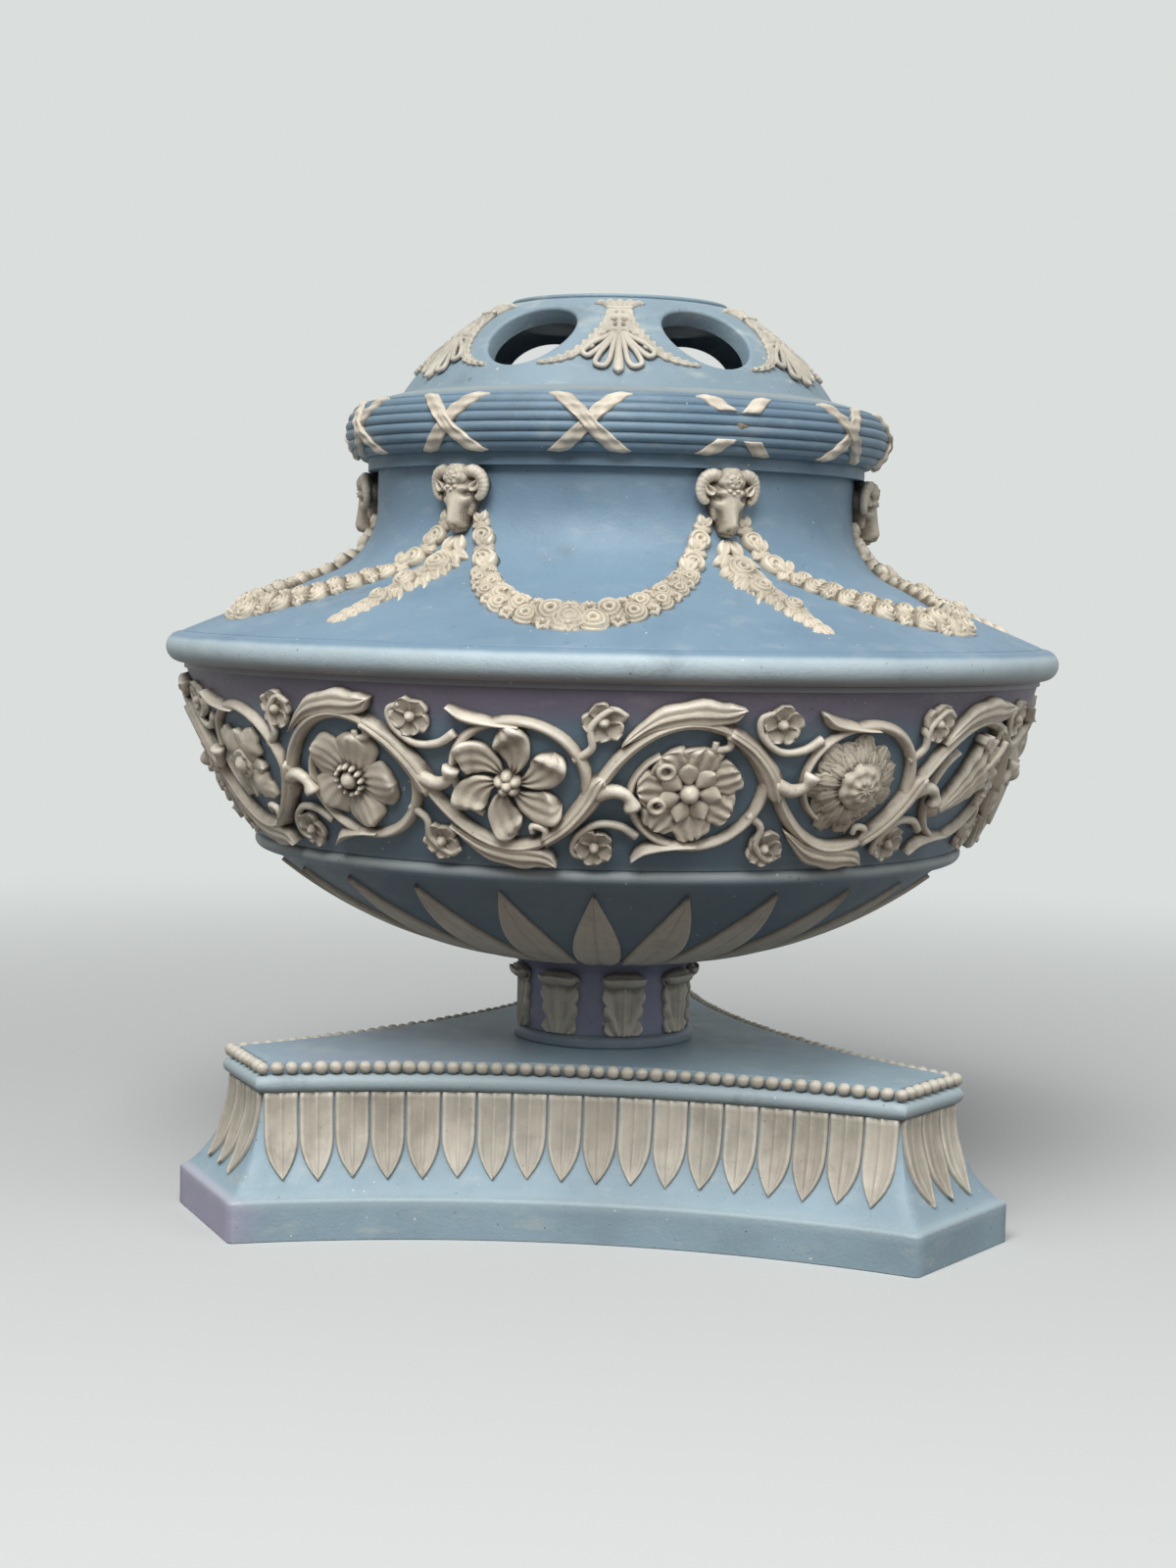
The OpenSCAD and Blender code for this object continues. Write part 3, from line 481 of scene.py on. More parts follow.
def dome_sixth(middle, radius, spread, lift, foot):
    """Rows from the hole's circle (spread 0) to the border of a sixth (spread 1), lifted from the outer face."""
    hole = np.radians(hole_slope)
    slope = hole + radius * np.sin(hole_turn) / (dome_radius + lift)
    azimuth = radius * np.cos(hole_turn) / (dome_centre[0] + (dome_radius + lift) * np.cos(slope))
    reach = np.where(border[1] > 0, np.radians(dome_top - hole_slope), np.radians(hole_slope - foot))
    slope = slope + spread * (hole + border[1] * reach - slope)
    azimuth = azimuth + spread * (border[0] * np.radians(30) - azimuth)
    return dome_point(np.radians(middle) + azimuth, slope, lift)


def hole_lip(middle, turn):
    """A row of the hole's rounded edge: a quarter circle from the outer face, at turn 0, into the hole."""
    radius, lift = hole_radius + hole_round * (1 - np.sin(turn)), -hole_round * (1 - np.cos(turn))
    return dome_sixth(middle, radius, 0, lift, dome_foot)


cover = Clay()
spread_out = np.linspace(0, 1, 12)[:, None] ** 1.2
for sixth in range(6):
    middle = first_hole + 60 * sixth
    lip = np.stack([hole_lip(middle, turn) for turn in np.radians([0, 30, 60, 90])])
    outside = dome_sixth(middle, hole_radius + hole_round, spread_out, 0, dome_foot)
    inside = dome_sixth(middle, hole_radius, spread_out, -dome_wall, inner_foot)
    cover.press(np.concatenate([outside[::-1], lip, inside]))
print("dome:", cover.count, "points round six holes")


# %% Foot and top of the cover
def dome_edges(radius, foot):
    """Radii, then heights, of the foot and of the top of a dome of a radius about the same centre."""
    slope = np.radians([foot, dome_top])
    return dome_centre[0] + radius * np.cos(slope), dome_centre[1] + radius * np.sin(slope)


wide, on_rim = dome_edges(dome_radius, dome_foot)
narrow, in_rim = dome_edges(dome_radius - dome_wall, inner_foot)
sixth_edge = np.unique(np.round(border[0][np.abs(border[1]) > 0.999], 9)) * np.radians(30)
cover_around = np.concatenate([np.radians(first_hole + 60 * k) + sixth_edge[:-1] for k in range(6)])
cover_foot = straight(
    (wide[0], on_rim[0]), (54, 198.2), (54, 196.6), (53.8, cover_seat_z), (50.5, cover_seat_z), (50.5, 191.6),
    (50.3, 191.4), (46.5, 191.4), (46.5, 198.8), (narrow[0], in_rim[0]))
cover_top = np.concatenate([
    straight((wide[1], on_rim[1]), (27.0, 221.2)), arc((26.3, 221.8), 0.5, -60, 90, 7),
    arc((25.3, 221.8), 0.5, 90, 230, 7), straight((24.6, 221.3), (0, 220.807)),
    straight((0, 216.8), (narrow[1], in_rim[1]))])
cover.press(turned(cover_foot, cover_around, warp=0.0))
cover.press(turned(cover_top, cover_around, warp=0.0))
cover.fire("cover", "blue_stoneware", cover_blue, "pierced_cover", crease=40)

# %% [markdown]
# ## Plinth
# The plinth has three hollow sides and three canted corners. Its moulding is one profile carried along
# that outline: each point of the profile has a distance out from the slab's edge, and the outline is
# drawn again at that distance. The top runs inwards to a circle under the stem, and the underside is
# hollow.

# %% Outline of the plinth
side_radius, side_centre, corner_reach = 215, 261.5, 95


def side_end(u):
    """Half the angle, in degrees, that a hollow side covers on the outline moved outward by u."""
    return 30 + np.degrees(np.arcsin((corner_reach + u - side_centre / 2) / (side_radius - u)))


def corner_half(u):
    """Half the width of a canted corner on the outline moved outward by u."""
    end, radius = np.radians(side_end(u)), side_radius - u
    return (side_centre - radius * np.cos(end)) * np.sin(np.pi / 3) - radius * np.sin(end) * 0.5


def bearings(azimuth):
    """Outward and sideways unit vectors at an azimuth in degrees."""
    a = np.radians(azimuth)
    return np.array([np.sin(a), -np.cos(a)]), np.array([np.cos(a), np.sin(a)])


def on_side(k, turn, out):
    """Plan of a point on hollow side k, turned about the side's centre and out from the slab's edge."""
    outward, along = bearings(120 * k)
    radius = side_radius - out
    return (side_centre - radius * np.cos(turn))[..., None] * outward + (radius * np.sin(turn))[..., None] * along


def on_corner(k, x, out):
    """Plan of a point on canted corner k, at x along it and out from the slab's edge."""
    outward, along = bearings(120 * k + 60)
    return (corner_reach + out)[..., None] * outward + x[..., None] * along


def outline(u):
    """The plan moved outward by u, as columns: each side's arc, then its corner, a little short of their ends."""
    u = np.asarray(u, float)[:, None]
    run = 0.99 * np.linspace(-1, 1, 57)
    ends = 0.96 * np.linspace(-1, 1, 15)
    columns = []
    for k in range(3):
        columns.append(on_side(k, np.radians(side_end(u)) * run, u))
        columns.append(on_corner(k, corner_half(u) * ends, u + 0 * ends))
    return np.concatenate(columns, 1)


print("plinth corners are", round(2 * float(corner_half(0)), 1), "mm wide at the slab")

# %% Plinth
roof_z, hollow_inset, deck_steps = 31.0, -8.0, 25
moulding = np.concatenate([
    straight((0.5, 0), (8.3, 0)), straight((8.5, 0.2), (8.5, 8.8)), arc((7.3, 8.8), 1.2, 0, 90, 7),
    bow((7.2, 10.02), (-2, 33), -33, 22), arc((-2.1, 35.1), 2.1, -90, 90, 13),
    straight((-2.4, 37.2), (-3.5, 37.2), (-3.5, 39.6)), straight((-3.6, 39.9), (-4.0, deck_z))])


def to_circle(row, radius):
    """Rows that run inwards from a row of the plan to a circle about the axis."""
    circle = radius * row / np.linalg.norm(row, axis=-1, keepdims=True)
    return row + np.linspace(0, 1, deck_steps + 1)[1:, None, None] * (circle - row)


edge = outline(moulding[:, 0])
hollow_edge = outline([hollow_inset, hollow_inset])
deck, roof = to_circle(edge[-1], 20), to_circle(hollow_edge[-1], bore)
bore_ring = np.repeat(roof[-1:], 2, 0)
plan = np.concatenate([edge, deck, bore_ring, roof[::-1], hollow_edge, edge[:1]])
heights = np.concatenate([moulding[:, 1], np.full(deck_steps, deck_z), [deck_z, roof_z],
                          np.full(deck_steps, roof_z), [roof_z, 0.0], [0.0]])
plinth_grid = np.concatenate([plan, np.broadcast_to(heights[:, None, None], plan.shape[:2] + (1,))], -1)
plinth_x, plinth_y, plinth_z = np.moveaxis(plinth_grid, -1, 0)
lilac_corner = ease(-plinth_x, 62, 88) * ease(12 - plinth_z, 0, 3)
lilac_deck = 0.35 * ease(plinth_z, 38, 39.5) * ease(60 - np.hypot(plinth_x + 48, plinth_y + 30), 0, 40)
worn_slab = 0.5 * ease(plinth_z, 33.2, 34.6) * ease(37.5 - plinth_z, 0, 0.6)
worn_block = 0.35 * np.exp(-(((plinth_z - 9.5) / 1.2) ** 2))
Clay().press(plinth_grid, worn_slab + worn_block, np.maximum(lilac_corner, lilac_deck)).fire(
    "vase", "blue_stoneware", plinth_blue, "plinth", crease=40)

# %% [markdown]
# ## Laying relief on a ground
# The ornament was pressed in flat moulds and bent onto the vase while damp. The same is done here:
# each leaf, petal or bud is worked out flat, as x across, y up and h out, and then laid on a ground,
# which is the line of the turned surface beneath it. Sculpting by hand would be freer, but formulas
# give clean edges and let one mould serve all round the vase.


# %% Grounds
class Ground:
    """A turned line, going up, that carries flat relief; y is measured along it from zero."""

    def __init__(self, line, zero, girth=None):
        step = np.append(1.0, np.linalg.norm(np.diff(line, axis=0), axis=1))
        self.line = line[step > 1e-4]
        self.along = np.cumsum(step[step > 1e-4]) - 1.0 - zero
        run = np.gradient(self.line, self.along, axis=0)
        self.out = np.stack([run[:, 1], -run[:, 0]], -1) / np.linalg.norm(run, axis=1, keepdims=True)
        self.girth = girth

    def rise_to(self, y, h):
        """Radius and height of the place y along the line, moved h along its normal, and the line's own radius."""
        base = [np.interp(y, self.along, c) for c in self.line.T]
        out = [np.interp(y, self.along, c) for c in self.out.T]
        return base[0] + h * out[0], base[1] + h * out[1], base[0]

    def lay(self, flat, azimuth=0.0):
        """Bends flat relief round the axis: the angle is x over the girth, or over the radius at that height."""
        r, z, base = self.rise_to(flat[..., 1], flat[..., 2])
        a = np.radians(azimuth) + flat[..., 0] / (self.girth or base)
        return np.stack([r * np.sin(a), -r * np.cos(a), z], -1)


def soiled_and_shaded(parts, ground=None, grain=0.3, reach=5):
    """Flat parts, each with azimuth and rise: height less the mean height nearby, from a map of them all.

    In the cream finish, rise gives soil and painted shade in hollows and wear and painted highlight on crests.
    """
    parts = [part if isinstance(part, tuple) else (part, 0.0) for part in parts]
    spots = []
    for flat, azimuth in parts:
        radius = ground.rise_to(flat[..., 1].mean(), 0.0)[2] if ground else 0.0
        spots.append((flat[..., :2] + [np.radians(azimuth) * radius, 0]).reshape(-1, 2))
    spots = np.concatenate(spots) / grain
    spots = (spots - spots.min(0)).astype(int) + 2 * reach
    height = np.concatenate([flat[..., 2].ravel() for flat, _ in parts])
    chart = np.zeros(spots.max(0) + 2 * reach)
    np.maximum.at(chart, tuple(spots.T), height)
    for axis in (0, 1, 0, 1):
        chart = np.max([np.roll(chart, i, axis) for i in (-1, 0, 1)], axis=0)
    for axis in (0, 1):
        chart = np.mean([np.roll(chart, i, axis) for i in range(-reach, reach + 1)], axis=0)
    rise = np.clip(height - chart[tuple(spots.T)], -2.0, 2.0)
    cuts = np.cumsum([flat[..., 2].size for flat, _ in parts])[:-1]
    rises = np.split(rise, cuts)
    return [(flat, azimuth, own.reshape(flat.shape[:2])) for (flat, azimuth), own in zip(parts, rises)]


def relief(clay, ground, parts, azimuth=0.0, tint=0.0):
    """Presses parts onto a ground from an azimuth on; tint is a share, or a function of a flat part.

    Each part's rise steers its soil, wear and painted light.
    """
    for flat, own, rise in parts:
        clay.press(ground.lay(flat, own + azimuth), rise, tint(flat) if callable(tint) else tint)


print("a ground can:", [step for step in vars(Ground) if not step.startswith("_")])

# %% [markdown]
# ## Moulds
# Three moulds make all the ornament. A lobe is a leaf, petal or stem: a line across, carried along a
# spine. A boss is round: rings about a centre. A strand is a round cord in space. The first two go a
# little below the ground and are closed underneath, so no gap shows where they meet the clay.


# %% Lines for the moulds
def through(knots, count):
    """A smooth curve through knots: cubic pieces whose slope at a knot is taken from its neighbours."""
    k = np.asarray(knots, float)
    slope = np.gradient(k, axis=0)
    u = np.linspace(0, len(k) - 1, count)
    i = np.minimum(u.astype(int), len(k) - 2)
    t = (u - i)[:, None]
    start = (2 * t**3 - 3 * t**2 + 1) * k[i] + (t**3 - 2 * t**2 + t) * slope[i]
    return start + (3 * t**2 - 2 * t**3) * k[i + 1] + (t**3 - t**2) * slope[i + 1]


def unit(vectors):
    """Vectors brought to length 1."""
    return vectors / np.maximum(np.linalg.norm(vectors, axis=-1, keepdims=True), 1e-9)


def swell(s, peak, blunt=1.0):
    """A width that is 0 at both ends of a leaf and 1 at peak: the sine of pi s^p, blunter with a lower power."""
    return np.sin(np.pi * np.clip(s, 0, 1) ** (np.log(0.5) / np.log(peak))) ** blunt


def moved(flat, x=0.0, y=0.0, turn=0.0, size=1.0):
    """Flat relief made larger, turned by degrees and moved in its plane."""
    c, w = np.cos(np.radians(turn)) * size, np.sin(np.radians(turn)) * size
    return np.stack([x + c * flat[..., 0] - w * flat[..., 1], y + w * flat[..., 0] + c * flat[..., 1],
                     flat[..., 2] * size], -1)


print("a leaf is widest at its peak:", np.round(swell(np.array([0, 0.3, 0.6, 1.0]), 0.6), 2).tolist())


# %% Moulds
def closed(top, sink):
    """A sheet with its underside: both edges go down to sink below the ground, and each end is capped there."""
    foot = top[:, [-1, 0]].copy()
    foot[..., 2] = -sink
    sheet = np.concatenate([top, foot], 1)
    caps = np.repeat(top[[0, -1]].mean(1, keepdims=True), sheet.shape[1], 1)
    caps[..., 2] = -sink
    return np.concatenate([caps[:1], sheet, caps[1:]])


def lobe(spine, half, height, across=9, sink=0.7):
    """Points spine + v half n, with n square to the spine and v from -1 to 1; height(s, v) is their relief."""
    s = np.linspace(0, 1, len(spine))[:, None]
    v = np.linspace(-1, 1, across)[None]
    run = unit(np.gradient(spine, axis=0))
    side = np.stack([-run[:, 1], run[:, 0]], -1)
    plan = spine[:, None] + (v * np.reshape(half, (-1, 1)))[..., None] * side[:, None]
    return closed(np.concatenate([plan, (height(s, v) + 0 * s * v)[..., None]], -1), sink)


def boss(centre, radius, height, rings=8, points=24, sink=0.7):
    """Points centre + q radius(a) (cos a, sin a), q from 0 to 1 and all angles a; height(q, a) is their relief."""
    q = np.linspace(0, 1, rings)[:, None]
    a = (np.arange(points) * tau / points)[None]
    reach = q * (radius(a) if callable(radius) else radius) + 0 * a
    crown = np.stack([centre[0] + reach * np.cos(a), centre[1] + reach * np.sin(a), height(q, a) + 0 * reach], -1)
    crown[0] = [centre[0], centre[1], crown[0, :, 2].mean()]
    foot = crown[-1:].copy()
    foot[..., 2] = -sink
    pole = np.broadcast_to([centre[0], centre[1], -sink], foot.shape)
    return np.concatenate([crown, foot, pole])


def strand(path, radius, points=8):
    """Circles of the given radii, square to a path of (x, y, h) points, closed to a point at both ends."""
    run = unit(np.gradient(path, axis=0))
    side = unit(np.cross([0.0, 0.0, 1.0], run))
    up = np.cross(run, side)
    a = np.arange(points)[None, :, None] * tau / points
    ring = path[:, None] + np.reshape(radius, (-1, 1, 1)) * (np.cos(a) * side[:, None] + np.sin(a) * up[:, None])
    caps = np.repeat(path[[0, -1]][:, None], points, 1)
    return np.concatenate([caps[:1], ring, caps[1:]])


print("a plain boss has", boss((0, 0), 1.0, lambda q, a: 1.0 - q).shape[:2], "rows and columns")

# %% [markdown]
# ## Beads and leaves of the plinth
# A string of beads runs along the ledge of the slab, and lancet leaves hang on the hollow moulding.
# Both follow the plinth's outline, which is not round, so their places come from the same side and
# corner functions as the plinth itself. Each leaf has a raised edge and a double line down its middle.

# %% Beads
chance = np.random.default_rng(11)
bead_size, bead_pitch, bead_z, bead_line = 1.65, 3.42, 38.75, np.array(-1.85)
bead_end, bead_corner = np.radians(side_end(bead_line)), corner_half(bead_line)
bead_count = int(2 * bead_end * (side_radius - bead_line) / bead_pitch)
corner_count = int(2 * bead_corner / bead_pitch)
bead_turns = bead_end * (2 * np.arange(bead_count + 1) / bead_count - 1)
bead_steps = bead_corner * (2 * np.arange(1, corner_count) / corner_count - 1)
places = np.concatenate([
    row for k in range(3)
    for row in (on_side(k, bead_turns, bead_line), on_corner(k, bead_steps, bead_line + 0 * bead_steps))])
lat = np.radians(np.linspace(-90, 90, 7))[:, None]
lon = np.arange(10)[None] * tau / 10
ball = np.stack([np.cos(lat) * np.cos(lon), np.cos(lat) * np.sin(lon), np.sin(lat) + 0 * lon], -1)
beads = Clay()
for place in places:
    size = bead_size * chance.uniform(0.93, 1.06)
    flattened = [1, 1, chance.uniform(0.9, 1.0)]
    # Rise follows height on each bead: a painted highlight on its top, a painted shade under it.
    beads.press(np.append(place, bead_z) + ball * size * flattened, 0.95 * ball[..., 2] - 0.1)
beads.fire("vase", "cream_relief", leaf_cream, "plinth_beads")


# %% Leaves of the plinth
def lancet(length, width, thick):
    """A leaf that hangs from the origin: straight sides, then a pointed end, with a raised edge and two lines."""
    s = np.linspace(0, 1, 15)
    half = width / 2 * np.where(s < 0.5, 1.0, 1 - ((s - 0.5) / 0.5) ** 2.1)

    def height(s, v):
        edge = 0.45 * np.exp(-(((np.abs(v) - 0.84) / 0.12) ** 2))
        lines = 0.35 * np.exp(-((v / 0.07) ** 2)) - 0.3 * np.exp(-(((np.abs(v) - 0.22) / 0.08) ** 2))
        return thick * (0.78 + edge + lines * (1 - s**6) + 0.1 * np.sin(9 * s + 3 * v))

    return lobe(np.column_stack([0 * s, -length * s]), half, height, 17)


leaves = Clay()
cove_ground = Ground(bow((7.3, 10), (-2, 33), -33, 60), 0)
hang = cove_ground.along[-1]
side_leaves, corner_leaves, leaf_line = 18, 3, -2
side_pitch = 2 * np.radians(side_end(leaf_line)) / side_leaves
corner_pitch = 2 * corner_half(leaf_line) / corner_leaves
for k in range(3):
    for i in range(side_leaves + corner_leaves):
        width = 7.9 if i < side_leaves else min(7.8, corner_pitch - 0.5)
        flat = lancet(21.2 * chance.uniform(0.97, 1.02), width, 0.95)
        out, z, _ = cove_ground.rise_to(flat[..., 1] + hang, flat[..., 2])
        if i < side_leaves:
            plan = on_side(k, side_pitch * (i - 8.5) + flat[..., 0] / (side_radius - leaf_line), out)
        else:
            plan = on_corner(k, corner_pitch * (i - 19) + flat[..., 0], out)
        leaves.press(np.concatenate([plan, z[..., None]], -1), soiled_and_shaded([flat])[0][2], chance.uniform(0, 0.5))
leaves.fire("vase", "cream_relief", leaf_cream, "plinth_leaves")

# %% [markdown]
# ## Leaves of the stem and the lower bowl
# Acanthus leaves stand round the stem: ribs fan out from a stalk to a ragged edge, and each tip rolls
# over in a thick lip. Long plain leaves spread under the bowl with a line down the middle. Both could be
# cut from a picture; as heights over a flat leaf they are real relief that catches the light.

# %% Stem leaves
acanthus_s = np.linspace(0, 1, 46)
ragged = 0.84 + 0.16 * np.abs(np.sin(3.5 * np.pi * acanthus_s + 0.4)) ** 0.6
acanthus_half = 5.5 * ragged * (0.82 + 0.18 * acanthus_s)


def acanthus_height(s, v):
    """Ribs that fan out from the foot of the leaf, as ridges of the angle there, and a stalk of three lines."""
    fan = np.arctan2(5.5 * np.abs(v), 14 * s + 3.5)
    ribs = 0.4 * np.cos(15 * fan) * ease(np.abs(v), 0.1, 0.4)
    stalk = 0.9 * np.exp(-((v / 0.09) ** 2)) + 0.4 * np.exp(-(((np.abs(v) - 0.24) / 0.07) ** 2)) * (1 - 0.5 * s)
    return 1.0 + ribs + stalk - 0.3 * np.abs(np.sin(3.5 * np.pi * s + 0.4 + np.pi / 2)) * np.abs(v) ** 3


stem_leaf = lobe(np.column_stack([0 * acanthus_s, 0.2 + 14.0 * acanthus_s]), acanthus_half, acanthus_height, 25)
roll_x = np.linspace(-1, 1, 15)
roll_path = np.column_stack([5.3 * roll_x, 14.4 - 0.6 * roll_x**2, 1.5 - 0.4 * roll_x**2])
leaf_roll = strand(roll_path, 2.3 * np.sqrt(np.maximum(1 - roll_x**4, 0.02)), 14)
acanthus = soiled_and_shaded([stem_leaf, leaf_roll])
stem_ground = Ground(np.concatenate([
    straight((stem_r, flange_z), (stem_r, flare_z)), bow((stem_r, 58.05), (flare_r, flare_top_z), -7, 20)]), 0)
stem_clay = Clay()
for k in range(8):
    relief(stem_clay, stem_ground, acanthus, 19 + 45 * k)
stem_clay.fire("vase", "cream_relief", leaf_cream, "stem_leaves")

# %% Bowl leaves
blade_s = np.linspace(0, 1, 26)
blade_half = 5.5 * np.sin(np.pi * np.clip(0.09 + 0.91 * blade_s, 0, 1)) ** 0.95


def blade_height(s, v):
    """Nearly flat, with a line down the middle, two fainter lines and a soft raised edge."""
    lines = -0.4 * np.exp(-((v / 0.06) ** 2)) - 0.15 * np.exp(-(((np.abs(v) - 0.5) / 0.05) ** 2))
    return 0.85 + lines + 0.2 * np.exp(-(((np.abs(v) - 0.88) / 0.1) ** 2))


blade = lobe(np.column_stack([0 * blade_s, 0.5 + 59.5 * blade_s]), blade_half, blade_height, 17)
# The blade's rise gives its soil, wear, painted shade and painted highlight.
soiled_and_shaded_blade = soiled_and_shaded([blade])
under_bowl = Ground(bow(bowl_foot, bowl_edge, lower_bulge, 120), 0)
blades = Clay()
for k in range(24):
    relief(blades, under_bowl, soiled_and_shaded_blade, 3.5 + 15 * k, chance.uniform(0, 0.4))
blades.fire("vase", "cream_relief", leaf_cream, "bowl_leaves")

# %% [markdown]
# ## Frieze: the scrolling vine
# A vine runs round the bowl in waves, over one flower and under the next. Where it crosses the middle
# it swells into a grooved sheath with a hooked leaf, and there a branch springs back and curls round
# the flower. Cells with the vine below are the same cell turned upside down, so one cell is drawn.

# %% Vine
frieze = Ground(bow(frieze_foot, frieze_top, frieze_bulge, 120), 21.96, girth=97.5)
cells, cell_turn, first_cell, half_cell = 16, 22.5, 15.5, 19.14
wave_t = np.linspace(0, np.pi, 30)
wave_x = half_cell * (0.65 * (2 * wave_t / np.pi - 1) - 0.35 * np.cos(wave_t))
wave = np.column_stack([wave_x, 15.2 * np.sin(wave_t)])


def round_stem(crest, grooves=0, depth=0.0):
    """A rounded bar, crest (1 - 0.75 v^2), with lengthwise grooves."""
    return lambda s, v: crest * (1 - 0.75 * v**2) + depth * np.cos(np.pi * grooves * v) * (1 - v**4)


def taper(start, end, s):
    """A number that goes evenly from start to end."""
    return start + (end - start) * s


def main_vine():
    """Flat parts of one cell: arch, grooved sheath, hook, and the branch that curls round the flower."""
    parts = [lobe(wave, np.full(30, 1.55), round_stem(2.8, 3, 0.2), 11)]
    s = np.linspace(0, 1, 16)
    sheath = through([wave[19], wave[23], wave[27], (half_cell + 0.9, -2.6)], 16)
    sheath_half = taper(1.9, 3.1, s**1.5) * (1 - 0.75 * ease(s, 0.9, 1.0))
    parts.append(lobe(sheath, sheath_half, round_stem(3.4, 4, 0.4), 13))
    hook = through([(-0.6, 1.4, 1.6), (3.0, 0.2, 2.2), (6.0, 1.2, 2.6), (7.4, 4.2, 2.7)], 14)
    u = np.linspace(0, 1, 14)
    parts.append(strand(hook + [half_cell, 0, 0], 1.9 - 0.9 * u + 0.9 * ease(u, 0.72, 0.95), 9))
    turn = np.radians(np.linspace(24, -236, 46))
    q = np.linspace(0, 1, 46)
    reach = taper(17.0, 11.6, q**0.8)
    curl = np.column_stack([0.6 * (1 - q) + reach * np.cos(turn), -1.4 + reach * 0.93 * np.sin(turn)])
    parts.append(lobe(curl, taper(1.55, 0.75, q), lambda s, v: (2.4 - 0.6 * s) * (1 - 0.75 * v**2), 7))
    return parts


def side_shoots():
    """Flat parts of one cell: apex leaf with its curl, the leaf below, and two tendrils at the crossing."""
    leaf_path = through([(-14.6, 10.2), (-8.0, 15.4), (-1.0, 17.4), (6.0, 17.6), (9.6, 19.0)], 22)
    w = np.linspace(0, 1, 22)
    parts = [lobe(leaf_path, 2.9 * swell(w, 0.55, 0.8) * (1 + 0.1 * np.sin(24 * w)) + 0.05,
                  lambda s, v: 2.6 + 0.8 * s - 0.8 * v**2 + 0.3 * np.cos(9 * v), 11)]
    back_curl = through([(2.0, 15.6, 1.6), (6.6, 13.6, 1.9), (7.4, 10.4, 1.9), (4.6, 9.6, 1.8),
                         (4.4, 11.4, 1.7)], 18)
    parts.append(strand(back_curl, taper(1.1, 0.7, np.linspace(0, 1, 18)), 7))
    under_leaf = through([(3.0, -13.8), (-2.6, -14.2), (-8.4, -15.4), (-11.6, -17.8)], 16)
    under_half = 1.5 * swell(0.06 + 0.92 * np.linspace(0, 1, 16), 0.6, 0.8) + 0.05
    parts.append(lobe(under_leaf, under_half, round_stem(2.7, 2, 0.25), 9))
    tendril = through([(-5.0, -6.2, 1.2), (-1.4, -9.4, 1.4), (-1.6, -14.0, 1.4), (2.4, -18.0, 1.4),
                       (5.6, -16.6, 1.3)], 20)
    parts.append(strand(tendril + [half_cell, 0, 0], taper(1.0, 0.6, np.linspace(0, 1, 20)), 7))
    over = through([(8.6, 11.8, 1.2), (4.6, 9.2, 1.3), (-0.6, 9.0, 1.4), (-5.0, 12.4, 1.4), (-5.8, 16.4, 1.3),
                    (-3.0, 17.8, 1.2)], 24)
    parts.append(strand(over + [half_cell, 0, 0], taper(1.05, 0.6, np.linspace(0, 1, 24)), 7))
    return parts


# The vine's rise gives its soil, wear, painted shade and painted highlight.
soiled_and_shaded_vine = soiled_and_shaded(main_vine() + side_shoots())
vine = Clay()
for k in range(cells):
    upright = [(flat * [1, 1 - 2 * (k % 2), 1], own, rise) for flat, own, rise in soiled_and_shaded_vine]
    relief(vine, frieze, upright, first_cell + cell_turn * k)
vine.fire("vase", "cream_relief", plaster_cream, "frieze_vine")

# %% [markdown]
# ## Frieze: the flowers
# Six kinds of flower fill the scrolls: a lance-leaved one, a wild rose, a pinwheel with rolled tips, a
# frilled rosette, a sunflower and a lily seen from the side. All are petals set round a boss; what
# changes is the petal's outline, its bend and the way its surface cups, rolls or folds.


# %% Petals and buttons
def petal(angle, start, end, width, height, peak=0.62, blunt=0.6, bend=0.0, frill=0.0, across=11, rows=16):
    """A petal from radius start to end along angle; bend turns it as it goes out and frill ripples its edge."""
    s = np.linspace(0, 1, rows)
    reach = taper(start, end, s)
    turn = np.radians(angle + bend * s**1.5)
    ripple = 1 + frill * np.sin(21 * s + angle)
    half = width / 2 * np.maximum(swell(0.04 + 0.96 * s, peak, blunt), 0.02) * ripple
    return lobe(np.column_stack([reach * np.cos(turn), reach * np.sin(turn)]), half, height, across)


def dome(crest, flat=0.85):
    """A rounded button: crest times the root of 1 - (flat q)^2."""
    return lambda q, a: crest * np.sqrt(1 - (flat * q) ** 2)


def ring_of_buttons(turns, reach, size, crest, rings, points):
    """Equal buttons at a distance from the middle, at turns in degrees."""
    places = [(reach * np.cos(turn), reach * np.sin(turn)) for turn in np.radians(turns)]
    return [boss(place, size, dome(crest), rings, points) for place in places]


print("a plain petal has", petal(0, 1, 5, 3, lambda s, v: 1.0).shape[:2], "rows and columns")


# %% Three open flowers
def lance_flower():
    """Four rippled petals with four short plain ones between, round a button on a notched disc."""
    def rippled(s, v):
        return 1.4 + 1.3 * np.sin(np.pi * s) * (1 - v**2) + 0.25 * np.cos(16 * s - 5 * np.abs(v)) * np.abs(v)

    parts = [petal(40 + 90 * i, 1.5, 11.8, 7.6, rippled, 0.5, 0.8, 10, 0.16) for i in range(4)]
    parts += [petal(85 + 90 * i, 1.5, 8.6, 4.6, lambda s, v: 1.8 - 0.6 * v**2 + 0.4 * s, 0.55, 0.8)
              for i in range(4)]
    return parts + [boss((0, 0), 2.4, dome(4.2)), boss((0, 0), 3.6, lambda q, a: 2.6 + 0.35 * np.cos(8 * a) * q)]


